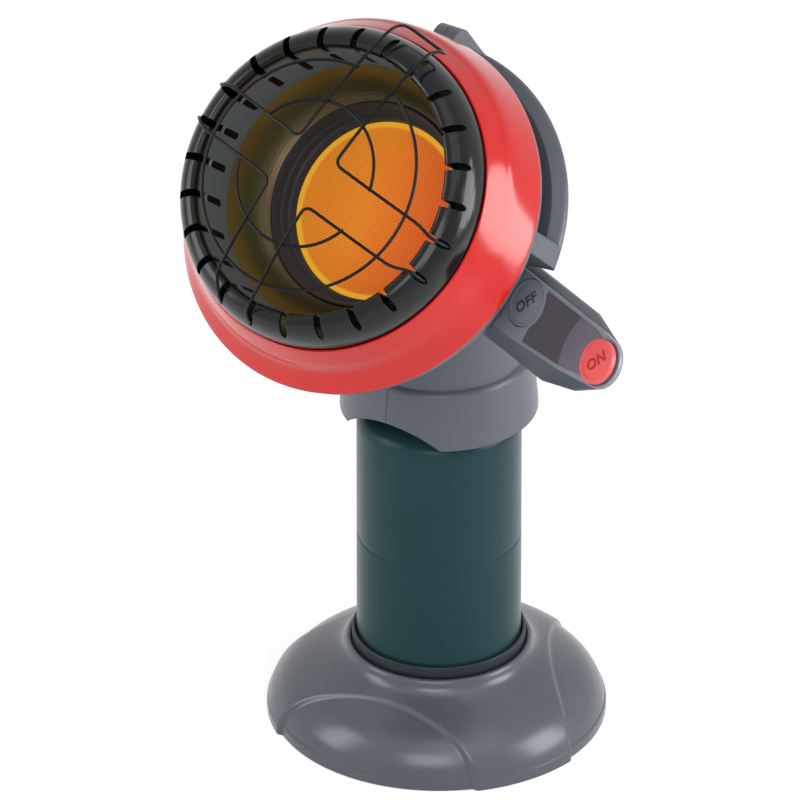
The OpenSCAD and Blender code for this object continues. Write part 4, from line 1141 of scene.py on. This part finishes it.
@dataclass
class Brow:
    """The stretch of the dome's wall that closes it over the OFF button. Sizes in millimetres.

    Args:
        rim: Start of the dome's side line, as (radius, height) in the rear frame.
        shoulder: Point from which that line curves in.
        depth: Depth of the dome.
        low_y: Lower end of the stretch along the panel.
        high_y: Upper end of the stretch along the panel.
        low_z: Height of its foot over the panel.
        high_z: Height of its top over the panel.
        sunk: How far its outer face lies under the dome's.
        wall: How far its inner face lies under the dome's.
        across: Number of steps along the panel.
        up: Number of steps in height.
    """

    rim: Point = (108.0, -7.0)
    shoulder: Point = (88.0, -52.0)
    depth: float = 110.0
    low_y: float = -23.5
    high_y: float = 16.5
    low_z: float = 0.15
    high_z: float = 28.2
    sunk: float = 0.05
    wall: float = 2.4
    across: int = 24
    up: int = 18

    def line(self) -> list[Point]:
        """Returns the dome's side line as (radius, height) in the rear frame, from the rim down."""
        s, d = self.shoulder, self.depth
        return [self.rim] + bezier(s, (s[0] - 10, s[1] - 23), (60, 2 - d), (0, -d), 16)

    def outside(self, point: Vector, shift: float) -> bool:
        """Tells whether a point is outside the dome.

        Args:
            point: The point, in the panel's frame.
            shift: How far the dome is drawn in.

        Returns:
            Whether it is.
        """
        p = carried(point, Place.PANEL, Place.REAR)
        r = math.hypot(p.x, p.y) + shift
        line = self.line()
        for a, b in zip(line, line[1:]):
            if b[1] <= p.z <= a[1]:
                return r > b[0] + (a[0] - b[0]) * (p.z - b[1]) / (a[1] - b[1])
        return p.z < -self.depth

    def on_dome(self, y: float, z: float, shift: float) -> Vector:
        """Finds the dome's point at a place over the panel, by halving.

        Args:
            y: Place along the panel.
            z: Height over the panel.
            shift: How far the dome is drawn in.

        Returns:
            The point, in the panel's frame.
        """
        low, high = -45.0, 45.0
        for _ in range(24):
            mid = (low + high) / 2
            out = self.outside(Vector((mid, y, z)), shift)
            low, high = (low, mid) if out else (mid, high)
        return Vector((low, y, z))

    def build(self) -> None:
        """Builds the wall, with both faces and its edges closed."""
        ys = even(self.low_y, self.high_y, self.across)
        rows = []
        for z in even(self.low_z, self.high_z, self.up):
            rows.append([self.on_dome(y, z, self.sunk) for y in ys]
                        + [self.on_dome(y, z, self.wall) for y in reversed(ys)])
        form = Form().sheet(rows, wrap_cols=True)
        m, top = len(rows[0]), len(rows[0]) * self.up
        for j in range(self.across):
            form.faces.append((j + 1, j, m - 1 - j, m - 2 - j))
            form.faces.append((top + j, top + j + 1, top + m - 2 - j, top + m - 1 - j))
        form.build("housing_brow", Place.PANEL, GREY, "head", 50)


@dataclass
class Guard:
    """The wire guard, a shallow dome hooked into the front ring. Sizes in millimetres.

    Args:
        wire_r: Radius of the wire.
        height: Height of the dome in the middle.
        drop: How much lower it is at the outer arc.
        under: How much lower the arcs lie than the bent wires.
        corner: Radius at which the wires turn their corners.
        bend: Length that a bend takes on both sides.
        in_r: Radius of the two inner arcs.
        out_r: Radius of the outer arc.
        tuck: How far an arc's end reaches past a leg's middle, in degrees.
        turn: Turn of the first corner, in degrees.
        leg_r: Radius at which the legs start to dip.
        crest: Height of the ring's crest, which the legs pass over.
        hook: Radius and height over the crest of a hook's first points.
        hook_z: Height over the crest of its end.
        hump: Radius and height of the loop that passes over the ring.
        slot_out: Radius of the slots' outer ends.
        slot_turn: Angle of the first slot, in degrees.
        slot_step: Angle between two slots.
    """

    wire_r: float = 0.98
    height: float = 47.0
    drop: float = 9.0
    under: float = 1.3
    corner: float = 21.0
    bend: float = 6.0
    in_r: float = 44.5
    out_r: float = 69.6
    tuck: float = 0.8
    turn: float = 28.5
    leg_r: float = 80.0
    crest: float = 24.0
    hook: tuple[Point, ...] = ((87.5, 5.5), (92.3, -3))
    hook_z: float = -10.6
    hump: tuple[Point, ...] = ((91, 31), (99, 26.5), (102.8, 18), (103, 9))
    slot_out: float = 94.5
    slot_turn: float = -8.5
    slot_step: float = 15.0

    @property
    def shift(self) -> float:
        """Distance of each leg from the line through the axis."""
        return self.corner * math.sin(math.radians(45))

    def z(self, r: float) -> float:
        """Returns the dome's height at a radius."""
        return self.height - self.drop * (r / self.out_r) ** 2

    def tip(self, turn: float) -> list[Vector]:
        """Returns the corner of a bent wire."""
        return [polar(self.corner, turn, self.z(self.corner))]

    def leg(self, turn: float, side: int) -> list[Vector]:
        """Draws the leg that leaves a corner to one side.

        Args:
            turn: Angle of the corner, in degrees.
            side: 1 for its left and -1 for its right.

        Returns:
            Points of the leg.
        """
        out = []
        for r in (38.0, 60.0, self.leg_r):
            t = math.sqrt(r * r - self.shift ** 2) - self.shift
            p = polar(self.corner, turn, 0) + polar(t, turn + side * 45, 0)
            out.append(Vector((p.x, p.y, self.z(r))))
        return out

    def hooked(self, turn: float, side: int) -> list[Vector]:
        """Draws a leg that ends in a hook in the nearest slot.

        Args:
            turn: Angle of its corner, in degrees.
            side: 1 for its left and -1 for its right.

        Returns:
            Points of the leg and its hook.
        """
        angle = turn + side * (45 - math.degrees(math.asin(self.shift / self.leg_r)))
        slot = self.slot_turn + self.slot_step * round((angle - self.slot_turn) / self.slot_step)
        points = self.hook + ((self.slot_out - self.wire_r - 0.25, self.hook_z),)
        return self.leg(turn, side) + [polar(r, slot, self.crest + z) for r, z in points]

    def over(self, side: int) -> list[Vector]:
        """Returns half of the loop that passes over the front ring."""
        across = polar(side * self.shift, self.turn + 135, 0)
        return [polar(r, self.turn + 45, z) + across for r, z in self.hump]

    def ring(self, r: float, start: float, end: float) -> list[Vector]:
        """Returns points of one arc of the guard, 3 degrees apart or less."""
        angles = even(start, end, math.ceil((end - start) / 3))
        return [polar(r, a, self.z(r) - self.under) for a in angles]

    def build(self) -> None:
        """Builds the bent wires, the loop and the three arcs as one welded piece."""
        form, t, mid = Form(), self.turn, self.turn + 45
        paths = [self.hooked(a, -1)[::-1] + self.tip(a) + self.hooked(a, 1)
                 for a in (t + 180, t + 270)]
        paths.append(self.hooked(t, -1)[::-1] + self.tip(t) + self.leg(t, 1) + self.over(-1)
                     + self.over(1)[::-1] + self.leg(t + 90, -1)[::-1] + self.tip(t + 90)
                     + self.hooked(t + 90, 1))
        for path in paths:
            form.tube(rounded(path, self.bend, 8), self.wire_r)
        inner, outer = (math.degrees(math.asin(self.shift / r)) - self.tuck
                        for r in (self.in_r, self.out_r))
        for r, start, end in ((self.in_r, mid - 90 + inner, mid + 90 - inner),
                              (self.in_r, mid + 90 + inner, mid + 270 - inner),
                              (self.out_r, mid + outer, mid + 360 - outer)):
            form.tube(self.ring(r, start, end), self.wire_r)
        form.build("wire_guard_skin", Place.HEAD, WIRE, "head", 60, ("wire_guard",))


@dataclass
class SlotShadePlates:
    """Dark plates on the front ring's inner wall, painted shade where its lower slots are seen.
    Sizes in millimetres.

    Args:
        count: Number of slots.
        turn: Angle of the first slot, in degrees.
        half_width: Half of a slot's width, and the radius of its ends.
        low: Height of its lower end.
        high: Height of its upper end.
        proud: How far its face stands in front of the wall.
        sunk: How far its back lies behind the wall.
        throat_r: Radius of the wall at its throat.
        throat_z: Height of the throat.
        bead_r: Radius of the wall at the rolled bead.
        bead_z: Height of the bead.
    """

    count: int = 24
    turn: float = -8.5
    half_width: float = 2.1
    low: float = -8.5
    high: float = 8.5
    proud: float = 0.12
    sunk: float = 0.3
    throat_r: float = 78.8
    throat_z: float = -16.5
    bead_r: float = 80.1
    bead_z: float = 17.0

    def wall(self, z: float) -> float:
        """Returns the inner wall's radius at a height."""
        share = (z - self.throat_z) / (self.bead_z - self.throat_z)
        return self.throat_r + (self.bead_r - self.throat_r) * share

    def section(self, angle: float, z: float) -> list[Vector]:
        """Draws a closed section of one slot, in front of the wall and behind it.

        Args:
            angle: Angle of the slot, in degrees.
            z: Height of the section.

        Returns:
            Points of the section.
        """
        end = min(z - self.low, self.high - z, self.half_width)
        half = math.sqrt(max(self.half_width ** 2 - (self.half_width - end) ** 2, 0.01))
        r = self.wall(z)
        spread = math.degrees(half / r)
        turns = even(angle - spread, angle + spread, 6)
        return ([polar(r - self.proud, a, z) for a in turns]
                + [polar(r + self.sunk, a, z) for a in reversed(turns)])

    def build(self) -> None:
        """Builds all the painted-shade plates as one piece."""
        form = Form()
        bend = [self.half_width * (1 - math.cos(math.radians(a))) for a in range(0, 91, 15)]
        heights = [self.low + b for b in bend] + [self.high - b for b in reversed(bend)]
        for i in range(self.count):
            angle = self.turn + 360 * i / self.count
            # Each plate is the painted shade of a slot, laid just in front of the wall.
            form.bar([self.section(angle, z) for z in heights])
        form.build("ring_wall_slot_shade", Place.HEAD, SHADE, "head", 40)


@dataclass
class Burner:
    """The glowing tile at the bottom of the dish. Sizes in millimetres.

    Args:
        tile_r: Radius of the tile.
        face: Height of its face.
        thick: Its thickness.
    """

    tile_r: float = 55.2
    face: float = -60.3
    thick: float = 12.4

    def build(self) -> None:
        """Builds the tile with a softened edge."""
        r, z, back = self.tile_r, self.face, self.face - self.thick
        profile = [(0, z), (r * 0.5, z), (r - 1.0, z), (r - 0.3, z - 0.3), (r, z - 1), (r, back),
                   (0, back)]
        form = Form().lathe(profile, closed=False)
        form.build("ceramic_tile_skin", Place.HEAD, TILE, "head", 40, ("ceramic_tile",))


@dataclass
class Legend:
    """Raised lettering on a button, in the panel's frame. Sizes in millimetres.

    Args:
        name: Name of the piece.
        text: The word.
        body: Body that carries it.
        x: Middle of the word, along the arm.
        y: Middle of the word, across the arm.
        z: Height of the middle of the letters' thickness.
        finish: Finish of the letters.
        size: Size of the letters.
        turn: Turn of the word, in degrees.
        height: Thickness of the letters.
        rounding: Radius of their edges.
        weight: How much bolder they are drawn.
        spacing: How much wider they are set.
    """

    name: str
    text: str
    body: str
    x: float
    y: float
    z: float
    finish: Finish
    size: float = 9.5
    turn: float = 55.0
    height: float = 0.35
    rounding: float = 0.12
    weight: float = 0.1
    spacing: float = 1.08

    def build(self) -> None:
        """Builds the letters and sets them on the button's face."""
        curve = bpy.data.curves.new(self.name, "FONT")
        curve.body, curve.size = self.text, self.size * MM
        curve.align_x, curve.align_y = "CENTER", "CENTER"
        curve.extrude, curve.offset = self.height * MM / 2, self.weight * MM
        curve.bevel_depth, curve.bevel_resolution = self.rounding * MM, 2
        curve.space_character, curve.resolution_u = self.spacing, 8
        helper = bpy.data.objects.new(self.name + "_curve", curve)
        bpy.context.scene.collection.objects.link(helper)
        graph = bpy.context.evaluated_depsgraph_get()
        mesh = bpy.data.meshes.new_from_object(helper.evaluated_get(graph))
        bpy.data.objects.remove(helper)
        mesh.transform(Place.PANEL.value @ moved(self.x, self.y, self.z, self.turn, "Z"))
        mesh.materials.clear()
        mesh.name = self.name
        add_piece(self.name, mesh, self.finish, self.body)


@dataclass
class ControlArm:
    """What the arm carries on its face: the label and the buttons' lettering. Sizes in millimetres.

    Args:
        gap: Distance from the OFF button to the ON button.
        on_y: Place of the ON button across the arm.
        off_r: Radius of the label's cut round the OFF button.
        on_r: Radius of the label's cut round the ON button.
        low: Height of the label's lower corner.
        top: Height of its upper edge.
        back: Height of its back face.
        face: Height of its front face.
    """

    gap: float = 82.8
    on_y: float = -0.3
    off_r: float = 16.9
    on_r: float = 15.8
    low: float = -20.0
    top: float = 13.8
    back: float = -0.45
    face: float = -0.06

    def outline(self) -> list[Point]:
        """Draws the label's outline, with an arc round each button.

        Returns:
            Its points, in the panel's frame.
        """
        y, r = self.on_y, self.on_r
        points = [(13, self.low), (50, -17.5), (71.8, -13.3)]
        points += arc(self.gap, y, r, angle_at(y, r, -12.6, -1), angle_at(y, r, 11.9, -1), 24)
        points += [(66, self.top), (11.5, self.top)]
        return points + arc(0, 0, self.off_r, angle_at(0, self.off_r, 12.4, 1), -44, 24)

    def build(self) -> None:
        """Builds the label and both legends."""
        rows = [[Vector((x, y, z)) for x, y in self.outline()] for z in (self.back, self.face)]
        form = Form().bar(rows, flip=True)
        form.build("label_plate_skin", Place.PANEL, LABEL, "head", 30, ("label_plate",))
        Legend("off_letters", "OFF", "off_cap", 0, 0, -0.75, GREY_DEEP).build()
        Legend("on_letters", "ON", "on_cap", self.gap, self.on_y, 3.95, CORAL_DEEP).build()


@dataclass
class ReturnSpring:
    """A coil under a button. Sizes in millimetres.

    Args:
        name: Name of the piece.
        node: Frame node that it replaces.
        joint: Joint of its button; not used.
        x: Place along the arm.
        y: Place across the arm.
        radius: Radius of the coil.
        wire: Radius of the wire.
        low: Height of its lower end.
        high: Height of its upper end.
        turns: Number of turns.
        travel: Travel of the button; not used.
    """

    name: str
    node: str
    joint: str
    x: float
    y: float
    radius: float
    wire: float
    low: float
    high: float
    turns: float
    travel: float

    def build(self) -> None:
        """Winds the coil."""
        start, rise = self.low + self.wire, self.high - self.low - 2 * self.wire
        middle = Vector((self.x, self.y, 0))
        steps = round(self.turns * 24)
        path = [polar(self.radius, 360 * i / 24, start + rise * i / steps) + middle
                for i in range(steps + 1)]
        form = Form().tube(path, self.wire, 10)
        coil = form.build(self.name, Place.PANEL, STEEL, "head", 60, (self.node,))
        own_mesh(coil)


@dataclass
class Springs:
    """The return springs of both buttons.

    Args:
        coils: The springs.
    """

    coils: tuple[ReturnSpring, ...] = (
        ReturnSpring("off_spring_coil", "off_spring", "off_press", x=0, y=0, radius=6.0, wire=0.5,
                     low=-11.9, high=-6.1, turns=2.5, travel=3.0),
        ReturnSpring("on_spring_coil", "on_spring", "on_press", x=57, y=-3, radius=5.3, wire=0.45,
                     low=-11.9, high=-7.6, turns=1.5, travel=2.7))

    def build(self) -> None:
        """Builds both coils."""
        for coil in self.coils:
            coil.build()


# ---------- stage, lights and camera ----------

WHITE = (1.0, 1.0, 1.0, 1.0)
HEATER_MIDDLE = (0, -0.03, 0.27)


def hang(data: bpy.types.ID, azimuth: float, elevation: float, distance: float,
         aim: Sequence[float]) -> bpy.types.Object:
    """Hangs a lamp or camera round a point and turns it to that point.

    Args:
        data: The lamp or camera.
        azimuth: Angle round the heater, in degrees, 0 in front of it and 90 at the arm.
        elevation: Angle above the floor, in degrees.
        distance: Distance in metres.
        aim: The point, in metres.

    Returns:
        The new object.
    """
    obj = bpy.data.objects.new(data.name, data)
    bpy.context.scene.collection.objects.link(obj)
    a, e = math.radians(azimuth), math.radians(elevation)
    back = Vector((math.sin(a) * math.cos(e), -math.cos(a) * math.cos(e), math.sin(e)))
    obj.location = Vector(aim) + back * distance
    obj.rotation_mode = "QUATERNION"
    obj.rotation_quaternion = (-back).to_track_quat("-Z", "Y")
    return obj


@dataclass
class Softbox:
    """A soft lamp that faces the heater.

    Args:
        name: Name of the lamp.
        azimuth: Angle round the heater, in degrees.
        elevation: Angle above the floor, in degrees.
        distance: Distance in metres.
        width: Width in metres.
        height: Height in metres.
        power: Power in watts.
    """

    name: str
    azimuth: float
    elevation: float
    distance: float
    width: float
    height: float
    power: float

    def build(self) -> None:
        """Hangs the lamp, which stays out of the camera's sight."""
        light = bpy.data.lights.new(self.name, "AREA")
        light.shape, light.size, light.size_y = "RECTANGLE", self.width, self.height
        light.energy = self.power
        lamp = hang(light, self.azimuth, self.elevation, self.distance, HEATER_MIDDLE)
        lamp.visible_camera = False


@dataclass
class Studio:
    """The pale floor, the white surround, the lamps and the camera. Sizes in metres.

    Args:
        azimuth: Angle of the view round the heater, in degrees.
        elevation: Angle of the view above the floor, in degrees.
        distance: Distance of the camera.
        aim: Point that it looks at.
        view_width: Width of what it sees there.
        sensor: Width of its sensor, in millimetres.
        ambient: Light of the surround on the heater.
        floor_half: Half the floor's width.
        floor_color: Colour of the floor.
        lift_near: Radius within which the floor keeps its shadow.
        lift_far: Radius from which it is all white.
        floor_lift: Own light of the floor under the heater.
        far_lift: Own light of the floor further out.
        lamps: The lamps.
    """

    azimuth: float = 33.0
    elevation: float = 30.5
    distance: float = 12.0
    aim: tuple[float, float, float] = (0.0, -0.0429, 0.2341)
    view_width: float = 0.4765
    sensor: float = 36.0
    ambient: float = 0.26
    floor_half: float = 40.0
    floor_color: Color = (0.86, 0.86, 0.86, 1.0)
    lift_near: float = 0.2
    lift_far: float = 1.6
    floor_lift: float = 0.50
    far_lift: float = 0.80
    lamps: tuple[Softbox, ...] = (
        Softbox("Left", azimuth=-46, elevation=22, distance=1.25, width=0.46, height=0.9, power=6),
        Softbox("Right", azimuth=110, elevation=12, distance=1, width=0.5, height=0.56, power=6.5),
        Softbox("Front", azimuth=28, elevation=30, distance=1.6, width=0.9, height=0.7, power=8.5),
        Softbox("Above", azimuth=60, elevation=64, distance=1.6, width=1.2, height=1.2, power=4.5))

    def build_camera(self) -> None:
        """Sets a distant camera that sees a square of the view's width at the aim."""
        data = bpy.data.cameras.new("Camera")
        data.sensor_width = self.sensor
        data.lens = self.sensor * self.distance / self.view_width
        data.clip_start, data.clip_end = 1.0, 60.0
        camera = hang(data, self.azimuth, self.elevation, self.distance, self.aim)
        bpy.context.scene.camera = camera

    def seen(self, t: Tree) -> Socket:
        """Returns 1 for rays from the camera, from gloss and through glass."""
        camera, gloss, glass = (t.add("LightPath").outputs[f"Is {kind} Ray"]
                                for kind in ("Camera", "Glossy", "Transmission"))
        return t.math("ADD", t.math("ADD", camera, gloss), glass, clamp=True)

    def build_floor(self) -> None:
        """Builds the pale floor, which keeps the heater's shadow and is white further out."""
        h = self.floor_half
        mesh = bpy.data.meshes.new("Floor")
        mesh.from_pydata([(-h, -h, 0), (h, -h, 0), (h, h, 0), (-h, h, 0)], [], [(0, 1, 2, 3)])
        floor = bpy.data.objects.new("Floor", mesh)
        bpy.context.scene.collection.objects.link(floor)
        mat = bpy.data.materials.new("Pale floor")
        mat.use_nodes = True
        t = Tree(mat.node_tree)
        away = t.measure("LENGTH", t.place())
        lift = t.span(away, self.lift_near, self.lift_far, self.floor_lift, self.far_lift)
        t.feed(mat.node_tree.nodes["Principled BSDF"], {
            "Base Color": self.floor_color, "Roughness": 0.9, "Emission Color": WHITE,
            "Emission Strength": t.math("MULTIPLY", self.seen(t), lift)})
        mesh.materials.append(mat)

    def build_surround(self) -> None:
        """Builds the surround, which looks white and lights the heater softly."""
        world = bpy.data.worlds.new("Studio")
        bpy.context.scene.world = world
        world.use_nodes = True
        t = Tree(world.node_tree)
        strength = t.span(self.seen(t), 0.0, 1.0, self.ambient, 1.0)
        t.feed(world.node_tree.nodes["Background"], {"Color": WHITE, "Strength": strength})

    def build(self) -> None:
        """Builds the floor, the surround and the lamps."""
        bpy.context.scene.view_settings.view_transform = "Standard"
        self.build_floor()
        self.build_surround()
        for lamp in self.lamps:
            lamp.build()


def main() -> None:
    """Builds the sub-assemblies in order, then the stage, and logs what each built."""
    logging.basicConfig(level=logging.INFO, format="%(message)s")
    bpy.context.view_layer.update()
    studio = Studio()
    studio.build_camera()
    dress_nodes()
    for part in (Stand(), Cylinder(), Shell(), Brow(), Guard(), SlotShadePlates(), Burner(), ControlArm(),
                 Springs()):
        part.build()
        log.info("%s is done", type(part).__name__)
    studio.build()


if __name__ == "__main__":
    main()
